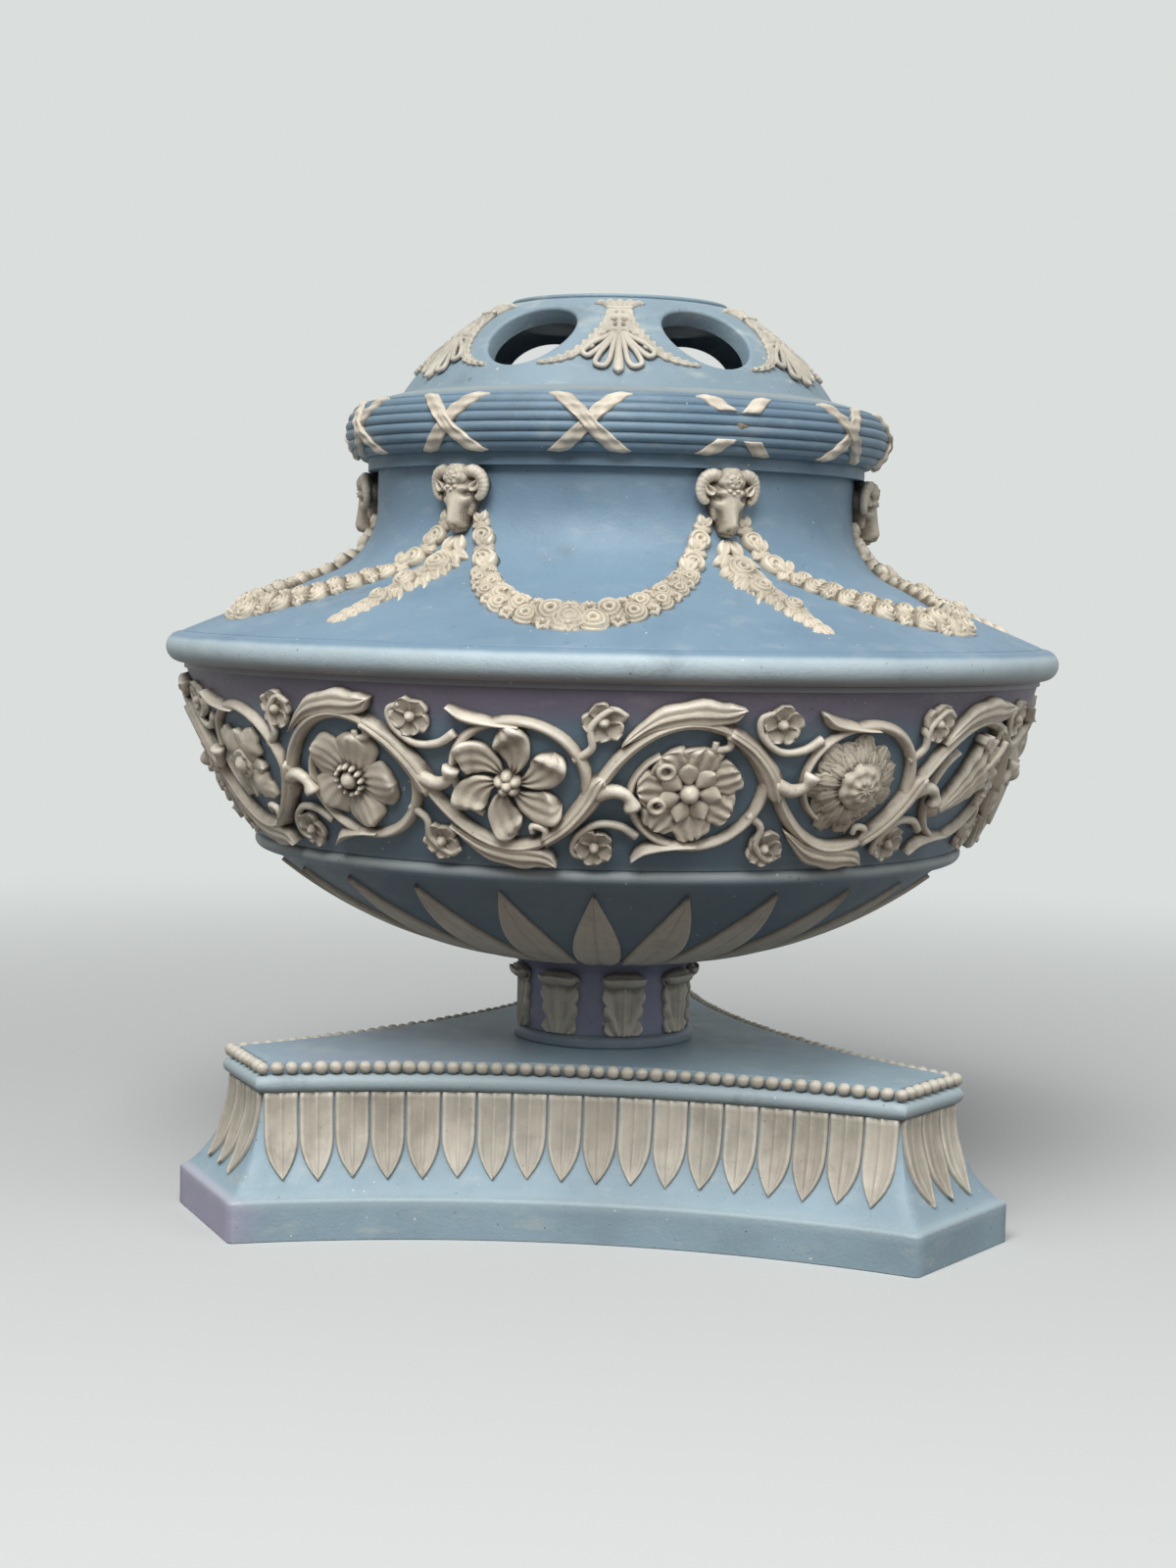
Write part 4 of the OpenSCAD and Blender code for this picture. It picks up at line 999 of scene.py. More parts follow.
def wild_rose():
    """Five broad petals, each cupped with fine ribs and a notched edge, round a ring of stamens."""
    def cupped(s, v):
        ribs = 0.2 * np.cos(14 * v) * (1 - 0.5 * s)
        cup = 1.2 + 1.5 * s + ribs - 1.5 * np.abs(v) ** 3 * s
        return cup + 0.5 * np.cos(3 * v) * s**3 - 1.0 * ease(s, 0.92, 1.0)

    parts = [petal(72 * i + 62, 1.0, 11.8, 10.6, cupped, 0.68, 0.42, 8, 0.03, 19, 20) for i in range(5)]
    parts += ring_of_buttons(30 * np.arange(12), 3.2, 0.75, 3.4, 5, 9)
    return parts + [boss((0, 0), 2.1, dome(4.2), 8, 18)]


def pinwheel():
    """Six petals that sweep round one way, ribbed, each with its tip rolled over in a thick lip."""
    def rolled(s, v):
        rib = 0.28 * np.cos(9 * v) * (1 - 0.6 * s)
        lip = 1.4 * np.exp(-(((s - 0.85) / 0.1) ** 2)) - 1.4 * ease(s, 0.93, 1.0)
        return 1.3 + 0.9 * s - 0.7 * v * s + rib + lip

    parts = [petal(60 * i + 2, 1.6, 12.4, 7.6, rolled, 0.72, 0.5, 34, 0.02, 15, 24) for i in range(6)]
    parts += ring_of_buttons(72 * np.arange(5) + 20, 1.7, 1.4, 3.9, 6, 12)
    return parts + [boss((0, 0), 1.5, dome(4.6), 7, 14)]


print("parts of each:", [len(kind()) for kind in (lance_flower, wild_rose, pinwheel)])


# %% Rosette, sunflower and lily
def rosette():
    """Seven frilled petals with deep gaps, two of them curled over into small eyes, round a plain button."""
    def frilled(s, v):
        return 1.3 + 1.3 * s + 0.4 * np.cos(11 * v + 3 * s) * s - 1.2 * np.abs(v) ** 4 - 0.8 * ease(s, 0.93, 1.0)

    def eye(q, a):
        return 3.5 - 2.6 * np.exp(-((q / 0.42) ** 2)) - 0.8 * q**4

    turns = 51.4 * np.arange(7) + 20
    parts = [petal(turn, 1.6, 11.2 + 0.7 * np.cos(turn), 9.4, frilled, 0.72, 0.42, 6, 0.09, 19, 22)
             for turn in turns]
    parts += [petal(turn + 26, 1.4, 7.0, 4.4, lambda s, v: 2.4 + 0.6 * s - 0.8 * v**2, 0.6, 0.7)
              for turn in turns]
    parts += [boss((7.4 * np.cos(e), 7.4 * np.sin(e)), 2.1, eye, 10, 16) for e in np.radians([136, 204])]
    return parts + [boss((0, 0), 2.3, dome(4.6, 0.9), 8, 18)]


def sunflower():
    """Two rows of ragged petals round a large seed head that sits off the middle."""
    def folded(s, v):
        return 1.2 + 1.0 * np.sin(np.pi * s**0.8) - 0.7 * np.abs(v) + 0.25 * np.cos(12 * v)

    def seeds(q, a):
        return (5.2 * np.sqrt(1 - 0.72 * q**2)
                + 0.4 * np.sin(8 * q + 4 * a) * np.sin(7 * q - 5 * a) * ease(q, 0.05, 0.2))

    parts = []
    for i in range(14):
        parts.append(petal(25.7 * i + 9 * np.sin(5 * i), 3.0, 11.5 + 0.9 * np.sin(3 * i), 5.6, folded,
                           0.7, 0.5, 8, 0.12, 9, 14))
    for i in range(14):
        parts.append(petal(25.7 * i + 13, 3.0, 9.4 + 0.6 * np.cos(2 * i), 4.6, lambda s, v: folded(s, v) + 0.8,
                           0.66, 0.5, 6, 0.12, 9, 12))
    return parts + [boss((0.9, 0.7), lambda a: 5.6 * (1 + 0.04 * np.cos(7 * a)), seeds, 18, 40)]


def lily():
    """A flower from the side: a ribbed trumpet that widens along its spine, a frilled lip, stamen and calyx."""
    def ribbed(s, v):
        return 1.4 + 2.0 * np.sqrt(1 - 0.8 * v**2) + 0.55 * np.cos(14 * v) * s + 0.5 * np.cos(30 * s) * s**3

    s, w = np.linspace(0, 1, 26), np.linspace(0, 1, 30)
    spine = through([(-8.5, -5.5), (-4.0, -3.0), (1.0, 1.0), (6.5, 6.5)], 26)
    trumpet = lobe(spine, 1.4 + 6.8 * s**1.6, ribbed, 21)
    lip = through([(-0.5, 11.6), (3.0, 10.6), (6.0, 8.4), (8.8, 5.0), (11.0, 0.5), (11.4, -3.0)], 30)
    lip_half = 1.9 * swell(0.03 + 0.94 * w, 0.5, 0.4) * (1 + 0.25 * np.cos(44 * w))
    frill = lobe(lip, lip_half, lambda s, v: 3.2 + 0.4 * np.cos(44 * s), 7)
    stamen = strand(through([(4, 4, 3.2), (8, 8.5, 3.6), (9.4, 11.2, 3.4)], 10), np.linspace(0.7, 0.9, 10), 7)
    return [trumpet, frill, stamen, boss((-8.6, -5.6), 2.2, dome(3.0), 6, 12)]


print("parts of each:", [len(kind()) for kind in (rosette, sunflower, lily)])

# %% Flowers in the scrolls
kinds = [soiled_and_shaded(kind()) for kind in (lance_flower, wild_rose, pinwheel, rosette, sunflower, lily)]
flowers = Clay()
for k in range(cells):
    order = (k + 3) % cells
    up, turn = -0.6 + 1.2 * (k % 2), 23 * (order // 6)
    bloom = [(moved(flat, 0, up, turn), own, rise) for flat, own, rise in kinds[order % 6]]
    relief(flowers, frieze, bloom, first_cell + cell_turn * k)
flowers.fire("vase", "cream_relief", plaster_cream, "frieze_flowers")

# %% [markdown]
# ## Frieze: the florets
# Small five-petalled florets sit above and below each crossing, on thin tendrils. They are the same
# petals at a smaller size, each turned a little so that no two look stamped.


# %% Florets
def floret(turn):
    """Five cupped petals round a button."""
    def cup(s, v):
        return 1.0 + 1.0 * s**2 + 0.5 * v**2 - 0.5 * ease(s, 0.85, 1.0)

    parts = [petal(72 * i + turn, 0.5, 4.6, 4.6, cup, 0.66, 0.45, 8, 0.06, 7, 9) for i in range(5)]
    return parts + [boss((0, 0), 1.3, dome(2.9), 5, 10)]


florets = Clay()
for k in range(cells):
    for side in (-1, 1):
        petals = floret(chance.uniform(0, 72))
        upright = [moved(part, side * 18.2, 15.0 - 30 * (k % 2), 0, 0.95) for part in petals]
        relief(florets, frieze, soiled_and_shaded(upright), first_cell + cell_turn * k, chance.uniform(0, 0.25))
florets.fire("vase", "cream_relief", plaster_cream, "frieze_florets")

# %% [markdown]
# ## Swags and drops
# Garlands of roses hang in curves between the rams' heads, and a leafy drop hangs under each head. A
# garland could be one long ripple, but the real one was built up from single roses, buds and leaves,
# larger towards the middle, so it is here too. A rose is a boss with rings of petals round a pit.


# %% Roses, leaves and buds
def ring_rose(size, tall, cuts, turn):
    """A dome with a drilled pit, and grooves between petals at cuts of the radius that wander with the angle."""
    def height(q, a):
        wander = q * (1 + 0.05 * np.sin(3 * a + turn) + 0.04 * np.sin(2 * a - turn))
        grooves = sum(np.exp(-(((wander - cut) / 0.07) ** 2)) for cut in cuts)
        pit = 0.55 * np.exp(-((q / 0.16) ** 2))
        return tall * (1.0 - 0.25 * q**2 - 0.3 * grooves - pit - 0.3 * ease(q, 0.85, 1.0))

    return boss((0, 0), lambda a: size * (1 + 0.04 * np.cos(3 * a + turn)), height, 18, 20, 3.0)


def garland_leaf(length, width, tall):
    """A small leaf along x from the origin, folded down its middle, with a raised tip."""
    def fold(s, v):
        return tall * (0.65 + 0.4 * np.sin(np.pi * s) - 0.3 * np.exp(-((v / 0.2) ** 2)) - 0.2 * v**2)

    s = np.linspace(0, 1, 6)
    return lobe(np.column_stack([length * s, 0 * s]), width / 2 * swell(0.08 + 0.92 * s, 0.45, 0.7), fold, 5, 2.0)


def flower_of_five(size, tall, turn):
    """Five broad leaves round a button."""
    leaf = garland_leaf(size, 0.9 * size, tall)
    middle = boss((0, 0), 0.34 * size, dome(1.25 * tall), 4, 8)
    return [moved(leaf, 0, 0, turn + 72 * i) for i in range(5)] + [middle]


print("a rose has", ring_rose(4.0, 3.0, (0.5, 0.8), 0.0).shape[:2], "rows and columns")

# %% The shoulder as a ground
neck_line = np.concatenate([
    straight(shoulder_edge, (70.2, 154.94)), arc(sweep, sweep_r, 247.4, 180, 60),
    straight((neck_r, 172), (neck_r, 181))])
shoulder_ground = Ground(neck_line, 58.78)


def tipped(flat, down, most):
    """Relief turned about its own level line to face outwards, by a share of what the slope lacks of 66 degrees."""
    lean = most * np.radians(66 - np.clip(90 - 67.5 * down / 21.2, 22.5, 66))
    y, h = flat[..., 1] + down, flat[..., 2]
    tipped_y = y * np.cos(lean) - h * np.sin(lean) - down
    return np.stack([flat[..., 0], tipped_y, y * np.sin(lean) + h * np.cos(lean)], -1)


def garland(parts, most):
    """Gives parts of (flat, azimuth, way down) on the shoulder their rise for soil, wear and painted light, then
    tips each one.
    """
    soiled_and_shaded_parts = soiled_and_shaded([(flat, azimuth) for flat, azimuth, _ in parts], shoulder_ground)
    return [(tipped(flat, part[2], most), azimuth, rise) for (flat, azimuth, rise), part in zip(soiled_and_shaded_parts, parts)]


def six_round(ground, first, name, finish, motifs, tint=0.0):
    """Presses work six times round the vase, each a piece of its own; motifs take turns.

    The work's rise steers its soil, wear and painted light.
    """
    for k in range(6):
        clay = Clay()
        relief(clay, ground, motifs[k % len(motifs)], first + 60 * k, tint)
        clay.fire("vase", "cream_relief", finish, f"{name}_{k + 1}")


first_swag, first_head = 0, 30
print("the shoulder is", round(float(np.ptp(shoulder_ground.along)), 1), "mm long along its curve")


# %% Swags
def swag_place(u):
    """Azimuth in degrees and way down the shoulder of a garland's middle line; u runs from -1 to 1."""
    return 26.0 * u, 47.5 - 45.0 * (1.25 * u**2 - 0.25 * u**4)


half_u = np.linspace(0, 1, 200)
half_az, half_down = swag_place(half_u)
half_x = np.radians(half_az) * shoulder_ground.rise_to(-half_down, 0.0)[2]
half_run = np.hypot(np.diff(half_x, prepend=0), np.diff(half_down, prepend=half_down[0])).cumsum()
single_from = 0.72


def swag_parts():
    """One garland in front: leaves all along, two blooms abreast at each step, and single ones at the ends."""
    parts = []

    def set_on(u, flat, x=0.0, y=0.0):
        azimuth, down = swag_place(u)
        parts.append((moved(flat, x, y - down), azimuth, down))

    set_on(0, ring_rose(4.9, 3.2, (0.36, 0.6, 0.82), 0.4))
    for side in (-1, 1):
        reach, step = 0.0, 0
        while reach < half_run[-1] - 0.5:
            u = np.interp(reach, half_run, half_u)
            width = 3.9 + 5.7 * (1 - u) ** 0.6
            slope = np.arctan2(-np.interp(u, half_u, np.gradient(half_down, half_run)),
                               side * np.interp(u, half_u, np.gradient(half_x, half_run)))
            across = np.array([-np.sin(slope), np.cos(slope)]) * width * (-1) ** step
            set_on(side * u, boss((0, 0), 0.44 * width, dome(0.26 * width), 5, 12, 3.0))
            for way in (-1, 1):
                for slant in (45, 100):
                    turn = np.degrees(slope) + way * slant + chance.uniform(-14, 14)
                    leaf = garland_leaf(0.52 * width * chance.uniform(0.85, 1.1), 0.34 * width, 0.24 * width)
                    set_on(side * u, moved(leaf, 0, 0, turn))
            if u > single_from and step % 2:
                set_on(side * u, ring_rose(0.5 * width, 0.4 * width, (0.6,), chance.uniform(0, 6)))
                reach += 0.62 * width
            elif u > single_from:
                for way in (-1, 1):
                    leaf = garland_leaf(0.75 * width, 0.42 * width, 0.36 * width)
                    set_on(side * u, moved(leaf, 0, 0, np.degrees(slope) + way * chance.uniform(18, 32)))
                reach += 0.62 * width
            else:
                if step:
                    size = chance.uniform(0.33, 0.4) * width
                    bloom = ring_rose(size, 0.36 * width, (0.5, 0.8), chance.uniform(0, 6))
                    set_on(side * u, bloom, *(0.15 * across))
                for petal_part in flower_of_five(0.25 * width, 0.28 * width, chance.uniform(0, 72)):
                    set_on(side * u, petal_part, *(-0.28 * across))
                reach += 0.49 * width
            step += 1
    return parts


six_round(shoulder_ground, first_swag, "swag", swag_cream, [garland(swag_parts(), 0.5)])


# %% Drops
def drop_parts(lean):
    """One drop in front: two almond buds, roses, leaves that overlap and thin out, and sprays; the tip leans."""
    parts = []

    def set_on(down, flat):
        parts.append((moved(flat, 0, -down), lean * np.clip((down - 14) / 39, 0, 1), down))

    for turn, x in ((-108, -0.6), (-70, 0.6)):
        set_on(8.6, moved(garland_leaf(6.0, 2.9, 2.2), x, 0, turn))
    for i, down in enumerate(np.linspace(14.0, 48.0, 12)):
        width = 8.6 - 0.26 * i
        for j in range(7):
            turn = -90 + (j - 3) * (21 - 0.8 * i) + chance.uniform(-7, 7)
            leaf = garland_leaf(width * chance.uniform(0.66, 0.9), 0.34 * width, (0.2 + 0.05 * (j % 2)) * width)
            set_on(down - 1.0, moved(leaf, 0, 0, turn))
    for down, x, size, tall in ((18.4, 0.0, 3.5, 3.1), (28.0, -0.9, 2.9, 2.9), (37.5, 0.7, 2.4, 2.5)):
        set_on(down, moved(ring_rose(size, tall, (0.5, 0.8), down), x, 0))
    for down, way in ((22.0, -1), (25.5, 1), (30.5, -1), (33.0, 1)):
        spray = through([(0, 0), (way * 3.6, -1.8), (way * 5.6, -4.8)], 8)
        set_on(down, lobe(spray, 0.8 * swell(0.1 + 0.85 * np.linspace(0, 1, 8), 0.6, 0.7), round_stem(1.3), 5))
    return parts


drop_lean = 4.5
drops = [garland(drop_parts(lean), 0.35) for lean in (drop_lean, -drop_lean)]
six_round(shoulder_ground, first_head, "drop", swag_cream, drops)

# %% [markdown]
# ## Rams' heads
# A ram's head covers the joint of two garlands: a wedge of a face with a dark nose, a woolly brow, and
# ridged horns that curl round the ears. The face is one lobe whose height is built up from rounded
# swellings and hollows, as a modeller adds and takes off clay; horns are strands.


# %% Face of a head
def face_height(s, v):
    """From poll (s = 0) to chin (s = 1): a ridge that steepens, with brows, eyes, cheeks, nostrils and mouth."""
    ridge = np.interp(s, [0, 0.12, 0.3, 0.55, 0.8, 0.92, 1.0], [4.6, 5.6, 6.2, 6.6, 7.2, 6.6, 4.2])
    steep = 1 - (0.46 + 0.14 * ease(s, 0.3, 0.6) - 0.16 * ease(s, 0.72, 0.9)) * np.abs(v) ** 1.7

    def spot(at, out, long, wide):
        return np.exp(-(((s - at) / long) ** 2) - (((np.abs(v) - out) / wide) ** 2))

    brow_and_socket = 0.9 * spot(0.26, 0.5, 0.06, 0.24) - 1.5 * spot(0.35, 0.66, 0.05, 0.18)
    eye = 0.9 * spot(0.355, 0.7, 0.025, 0.09)
    cheek = 0.5 * spot(0.47, 0.72, 0.07, 0.22) - 0.5 * spot(0.62, 0.8, 0.1, 0.3)
    nostril = 0.35 * spot(0.84, 0.5, 0.05, 0.3) - 0.9 * spot(0.9, 0.4, 0.025, 0.13)
    mouth = -0.8 * np.exp(-(((s - 0.955 + 0.02 * np.abs(v)) / 0.012) ** 2)) - 0.4 * spot(0.92, 0.0, 0.05, 0.08)
    return ridge * steep + brow_and_socket + eye + cheek + nostril + mouth


def woolly(q, a):
    """The poll: a dome with a fine net of waves."""
    net = np.sin(9 * q + 3 * a) * np.sin(7 * q - 4 * a) * ease(q, 0.05, 0.3)
    return 6.9 * np.sqrt(1 - 0.5 * q**2) + 0.3 * net


def curl_of_wool(x, y, size, crest, way):
    """A small spiral tuft: a dome with a groove that winds outwards."""
    def wind(q, a):
        return crest * np.sqrt(1 - 0.45 * q**2) - 0.2 * np.cos(2.2 * tau * q + way * a) * q

    return boss((x, y), size, wind, 9, 16)


print("the nose stands", round(float(face_height(0.8, 0.0)), 1), "mm out")


# %% Heads
def side_of_head(side):
    """Horn, the hollow's floor behind it, ear and jaw on one side."""
    u = np.linspace(0, 1, 64)
    horn = through([(2.2, 5.4, 3.6), (4.2, 6.1, 3.7), (6.1, 5.2, 3.4), (6.9, 3.1, 3.0), (6.7, 1.0, 2.9),
                    (5.8, -0.2, 3.0), (5.0, 0.2, 3.2)], 64)
    girth = np.interp(u, [0, 0.2, 0.45, 0.75, 1.0], [1.6, 1.7, 1.5, 1.15, 0.6])
    ridges = 1 + 0.035 * np.sin(84 * u) * (1 - 0.5 * u)
    ear = through([(4.1, 1.6), (5.2, 2.5), (6.2, 3.9)], 14)
    ear_half = 1.0 * swell(0.08 + 0.92 * np.linspace(0, 1, 14), 0.4, 0.7)
    jaw = through([(3.6, -0.6), (3.2, -2.6), (2.4, -4.6)], 12)

    def cupped(s, v):
        return 5.0 - 1.0 * np.exp(-((v / 0.4) ** 2)) * np.sin(np.pi * s) - 0.6 * s

    return [strand(horn * [side, 1, 1], girth * ridges, 12), boss((side * 4.9, 2.7), 2.5, dome(2.9, 0.5), 6, 16),
            lobe(ear * [side, 1], ear_half, cupped, 11),
            lobe(jaw * [side, 1], np.full(12, 0.9), lambda s, v: 3.4 - 0.8 * v**2, 7)]


def head_grids():
    """Flat parts of one head about the middle of the brow, with x to its left and right."""
    s = np.linspace(0, 1, 70)
    half = np.interp(s, [0, 0.08, 0.25, 0.42, 0.6, 0.8, 0.9, 0.96, 1.0],
                     [2.8, 4.0, 4.8, 4.6, 3.5, 2.5, 2.25, 1.85, 1.0])
    parts = [lobe(np.column_stack([0 * s, 5.6 - 14.6 * s]), half, face_height, 41, 1.0)]
    parts.append(boss((0, 4.7), lambda a: 3.3 + 0.15 * np.cos(6 * a), woolly, 16, 32))
    parts += [curl_of_wool(-1.0, 2.2, 0.9, 6.8, 1), curl_of_wool(1.0, 2.2, 0.9, 6.8, -1),
              curl_of_wool(0, 1.5, 0.8, 6.9, -1)]
    parts += side_of_head(-1) + side_of_head(1)
    return [moved(part, 0, -0.8, 0, 0.93) for part in parts]


def darker_to_chin(flat):
    """A share of brown that grows down the face: little on the brow and cheeks, more towards the chin."""
    return 0.1 + 0.8 * ease(-flat[..., 1], 5.2, 8.4)


neck_wall = Ground(straight((neck_r, 140), (neck_r, 195)), 33.6)
six_round(neck_wall, first_head, "ram_head", head_cream, [soiled_and_shaded(head_grids())], darker_to_chin)

# %% [markdown]
# ## Ribbons on the collar
# Thin ribbons cross over the reeds of the collar, cut level with the edges of the band. Pressed into
# the reeds, they keep a wave, and they pinch where they cross. One cross has lost its middle: only four
# ends and a scar are left.

# %% Ribbon crosses
ribbon_end, reed_gap, broken_cross = 7.3, 2.46, 1


def ribbon(way, lift, low=-ribbon_end, high=ribbon_end):
    """Level rows of points on a slanted line, so its ends are cut level; it dips between the reeds."""
    y = np.linspace(low, high, 44)[:, None]
    v = np.linspace(-1, 1, 11)[None]
    half = 1.95 + 0.4 * ease(np.abs(y), 0.3, 3.0)
    x = way * 0.99 * y + v * half
    waves = -0.17 * np.cos(tau * y / reed_gap) + lift * np.exp(-((y / 2.3) ** 2)) - 0.12 * np.cos(4 * v + 0.5 * y)
    h = 0.72 + waves - 0.22 * v**4 + 0.18 * np.exp(-((y / 1.6) ** 2)) * np.cos(7 * v)
    return closed(np.stack([x, y + 0 * v, h], -1), 1.6)


def torn(q, a):
    """The scar: a low mound with a ragged edge."""
    return 0.45 - 0.7 * q + 0.25 * np.cos(5 * a) * q


whole = soiled_and_shaded([ribbon(1, 0.0), ribbon(-1, 0.5)])
stubs = [ribbon(1, 0, 2.9), ribbon(1, 0, -ribbon_end, -3.1), ribbon(-1, 0, 3.2), ribbon(-1, 0, -ribbon_end, -3.4)]
scar = boss((0.3, -0.2), lambda a: 1.5 + 0.4 * np.cos(3 * a), torn, 6, 14)
collar_ground = Ground(arc(reed_centre, 7.8, -66, 66, 80), 7.8 * np.radians(66))
for k in range(12):
    clay = Clay()
    if k == broken_cross:
        relief(clay, collar_ground, soiled_and_shaded(stubs), 30 * k)
        relief(clay, collar_ground, [(scar, 0.0, -1.0)], 30 * k, 1.0)
    else:
        relief(clay, collar_ground, whole, 30 * k)
    clay.fire("vase", "cream_relief", head_cream, f"ribbon_cross_{k + 1}")

# %% [markdown]
# ## Palmettes on the cover
# Between the holes stands a palmette: a fluted cup at the top, a husk pierced with small holes, a rib
# with two looped ribs on each side that open downwards, and a toothed spray that runs down each side
# and outwards. The piercings are dips in the height of the husk; loops are strands.


# %% Middle of a palmette
def cup_and_waist():
    """A fluted cup that widens upwards, and a cord round its waist."""
    def flutes(s, v):
        return (0.9 + 0.3 * s + 0.3 * np.cos(16 * v)) * (1 - 0.6 * v**4)

    w = np.linspace(0, 1, 14)
    cup_half = np.interp(w, [0, 0.4, 0.8, 1.0], [2.8, 3.0, 4.2, 6.0])
    x = np.linspace(-3.0, 3.0, 12)
    waist = strand(np.column_stack([x, 10.1 + 0.03 * x**2, 1.1 + 0 * x]), np.full(12, 0.5), 8)
    return [lobe(np.column_stack([0 * w, 10.4 + 4.0 * w]), cup_half, flutes, 25), waist]


def husk_and_rib():
    """A husk with pairs of holes at (x, y, half width, half height), and the middle rib below it."""
    holes = [(0.8, 8.3, 0.45, 0.5), (1.2, 5.2, 0.7, 0.75), (0.9, 3.2, 0.4, 0.9), (1.2, 0.5, 0.5, 0.5),
             (2.6, 0.3, 0.55, 0.55)]
    husk_y = np.linspace(10.3, -0.4, 44)
    husk_half = np.interp(husk_y, [-0.4, 1.0, 4.9, 10.3], [4.4, 4.6, 3.7, 2.8])

    def pierced(s, v):
        x, y = np.abs(v) * husk_half[:, None], husk_y[:, None]
        cut = sum(np.exp(-((((x - at) / wide) ** 2 + ((y - up) / tall) ** 2) ** 2))
                  for at, up, wide, tall in holes)
        return 1.3 - 0.3 * v**2 + 0.18 * np.cos(2.1 * y + 2 * x) * np.abs(v) - 1.3 * np.clip(cut, 0, 1)

    rib = np.linspace(0, 1, 24)
    rib_half = (0.55 + 0.85 * rib**1.5) * np.sqrt(np.maximum(1 - ease(rib, 0.86, 1.0) ** 2, 0.02))
    rib_spine = np.column_stack([0 * rib, 0.6 - 13.2 * rib])
    middle_rib = lobe(rib_spine, rib_half, lambda s, v: 1.2 + 0.5 * s - 0.5 * v**2, 9)
    return [lobe(np.column_stack([0 * husk_y, husk_y]), husk_half, pierced, 45), middle_rib]


print("parts in the middle:", len(cup_and_waist() + husk_and_rib()))


# %% Palmettes
def loops_and_spray(way):
    """Two looped ribs and a toothed spray on one side."""
    def ribs(s, v):
        return 1.0 + 0.22 * np.cos(62 * s - 2.5 * np.abs(v)) + 0.3 * np.exp(-((v / 0.25) ** 2)) - 0.4 * s

    inner = [(0.5, 0.2), (1.4, -4.6), (2.2, -9.0), (3.5, -10.6), (5.3, -9.7), (4.3, -6.8), (2.4, -3.4), (0.7, 0.1)]
    outer = [(0.9, 0.2), (3.0, -3.2), (5.6, -6.4), (7.1, -7.5), (8.2, -6.2), (6.2, -3.6), (3.4, -1.6), (1.1, 0.3)]
    parts = []
    for knots in (inner, outer):
        loop = through(knots, 40)
        path = np.column_stack([way * loop[:, 0], loop[:, 1], np.full(40, 0.8)])
        parts.append(strand(path, np.full(40, 0.66), 8))
    spray = through([(2.3, 7.0), (3.7, 2.4), (5.6, -1.4), (8.2, -4.8), (12.0, -7.4), (15.6, -8.7),
                     (19.2, -9.3)], 60)
    q = np.linspace(0, 1, 60)
    toothed = np.interp(q, [0, 0.2, 0.45, 0.7, 1.0], [0.6, 1.5, 1.6, 1.0, 0.3]) * (0.86 + 0.18 * np.sin(62 * q))
    return parts + [lobe(spray * [way, 1], toothed, ribs, 9)]


palmette_parts = cup_and_waist() + husk_and_rib() + loops_and_spray(-1) + loops_and_spray(1)
palmette = soiled_and_shaded([moved(part, 0, 15.2) for part in palmette_parts])
dome_ground = Ground(arc(dome_centre, dome_radius, dome_foot, dome_top, 80), 0)
first_palmette = first_hole - 30
for k in range(6):
    clay = Clay()
    relief(clay, dome_ground, palmette, first_palmette + 60 * k)
    clay.fire("cover", "cream_relief", leaf_cream, f"palmette_{k + 1}")

# %% [markdown]
# ## Floor and light
# The vase stands on a plain pale floor in a soft room. The camera sees the floor and the room pale,
# while the light that bounces from them onto the vase is dimmer, so that its underside keeps its shade.
# One broad lamp hangs above and in front, and a weaker one stands to the right.

# %% Floor
backdrop = paint(218, 222, 220)
floor_mesh = bpy.data.meshes.new("floor")
floor_mesh.from_pydata([(-8, -8, 0), (8, -8, 0), (8, 8, 0), (-8, 8, 0)], [], [(0, 1, 2, 3)])
floor = bpy.data.objects.new("floor", floor_mesh)
scene.collection.objects.link(floor)


def seen_directly(tree):
    """1 for rays from the camera, or from it by a mirror or glass, and 0 for light that bounces."""
    path = tree.nodes.new("ShaderNodeLightPath")
    total = path.outputs["Is Camera Ray"]
    for name in ("Is Glossy Ray", "Is Transmission Ray"):
        larger = tree.nodes.new("ShaderNodeMath")
        larger.operation = "MAXIMUM"
        tree.links.new(total, larger.inputs[0])
        tree.links.new(path.outputs[name], larger.inputs[1])
        total = larger.outputs[0]
    return total


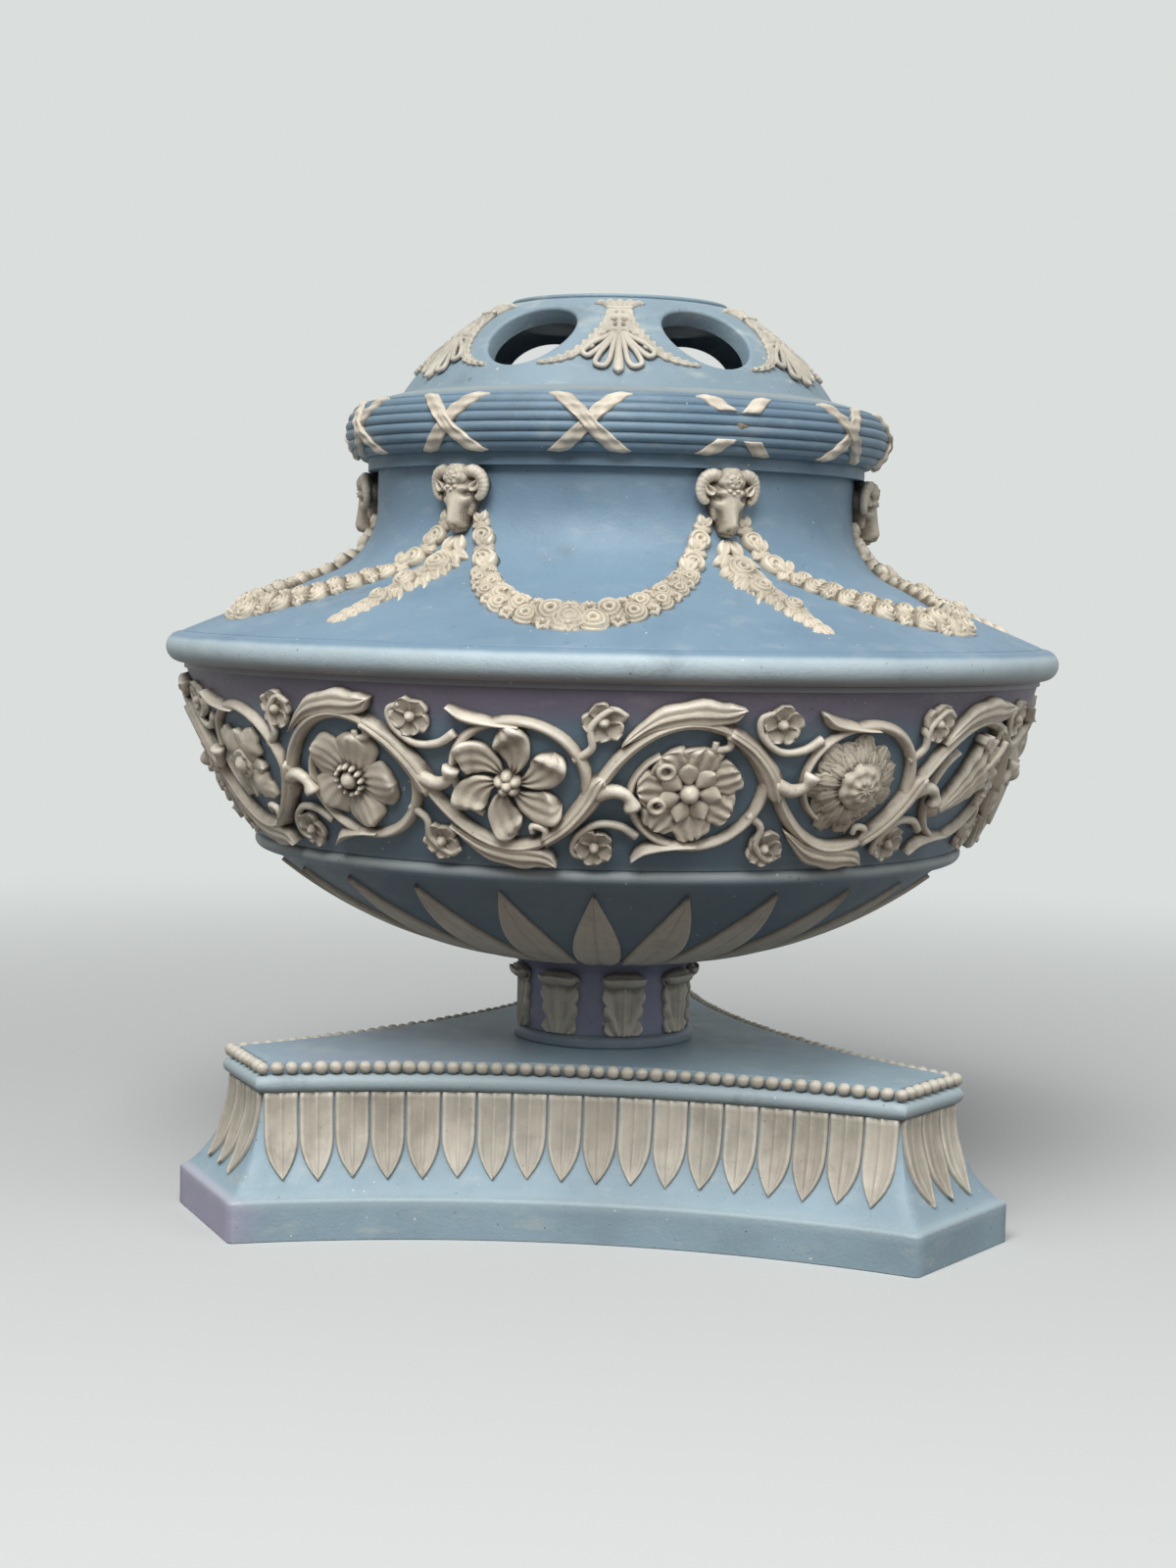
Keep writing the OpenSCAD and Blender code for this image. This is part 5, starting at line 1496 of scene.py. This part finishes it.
floor_finish = Finish("pale_floor")
seen = seen_directly(floor_finish.tree)
far = floor_finish.add("ShaderNodeVectorMath", {0: floor_finish.place}, operation="LENGTH").outputs["Value"]
fade = floor_finish.times(seen, floor_finish.band(far, 0.2, 0.75))
near_colour = floor_finish.mix(seen, paint(90, 78, 70), paint(206, 208, 206))
floor_colour = floor_finish.mix(fade, near_colour, (0, 0, 0, 1))
floor_mesh.materials.append(floor_finish.close(floor_colour, 0.8, floor_finish.noise(4, 2), 0.02))
floor_finish.feed(floor_finish.shader.inputs["Specular IOR Level"], 0.0)
floor_finish.feed(floor_finish.shader.inputs["Emission Color"], backdrop)
floor_finish.feed(floor_finish.shader.inputs["Emission Strength"], fade)
print("floor fades into the backdrop")

# %% World and lamps
world = bpy.data.worlds.new("soft_room")
scene.world = world
world.use_nodes = True
sky = world.node_tree.nodes["Background"]
sky_mix = world.node_tree.nodes.new("ShaderNodeMix")
sky_mix.data_type = "RGBA"
sky_mix.inputs[6].default_value = (0.25, 0.26, 0.27, 1)
sky_mix.inputs[7].default_value = backdrop
world.node_tree.links.new(seen_directly(world.node_tree), sky_mix.inputs[0])
world.node_tree.links.new(sky_mix.outputs[2], sky.inputs["Color"])


def soft_lamp(name, place, target, size, power):
    """A square area lamp at place that faces target."""
    light = bpy.data.lights.new(name, "AREA")
    light.size = size
    light.energy = power
    lamp = bpy.data.objects.new(name, light)
    scene.collection.objects.link(lamp)
    back = unit(np.subtract(place, target))
    right = unit(np.cross([0.0, 1.0, 0.001], back))
    turn = np.eye(4)
    turn[:3, :3] = np.stack([right, np.cross(back, right), back], 1)
    turn[:3, 3] = place
    lamp.matrix_world = Matrix(turn.tolist())


mid_vase = (0, 0, 0.12)
soft_lamp("window_above", (-0.1, -0.95, 1.2), mid_vase, size=0.9, power=23)
soft_lamp("room_right", (1.3, -0.7, 0.9), mid_vase, size=1.0, power=5)
scene.view_settings.view_transform = "Standard"
print("soft room with", len(bpy.data.lights), "lamps")

# %% [markdown]
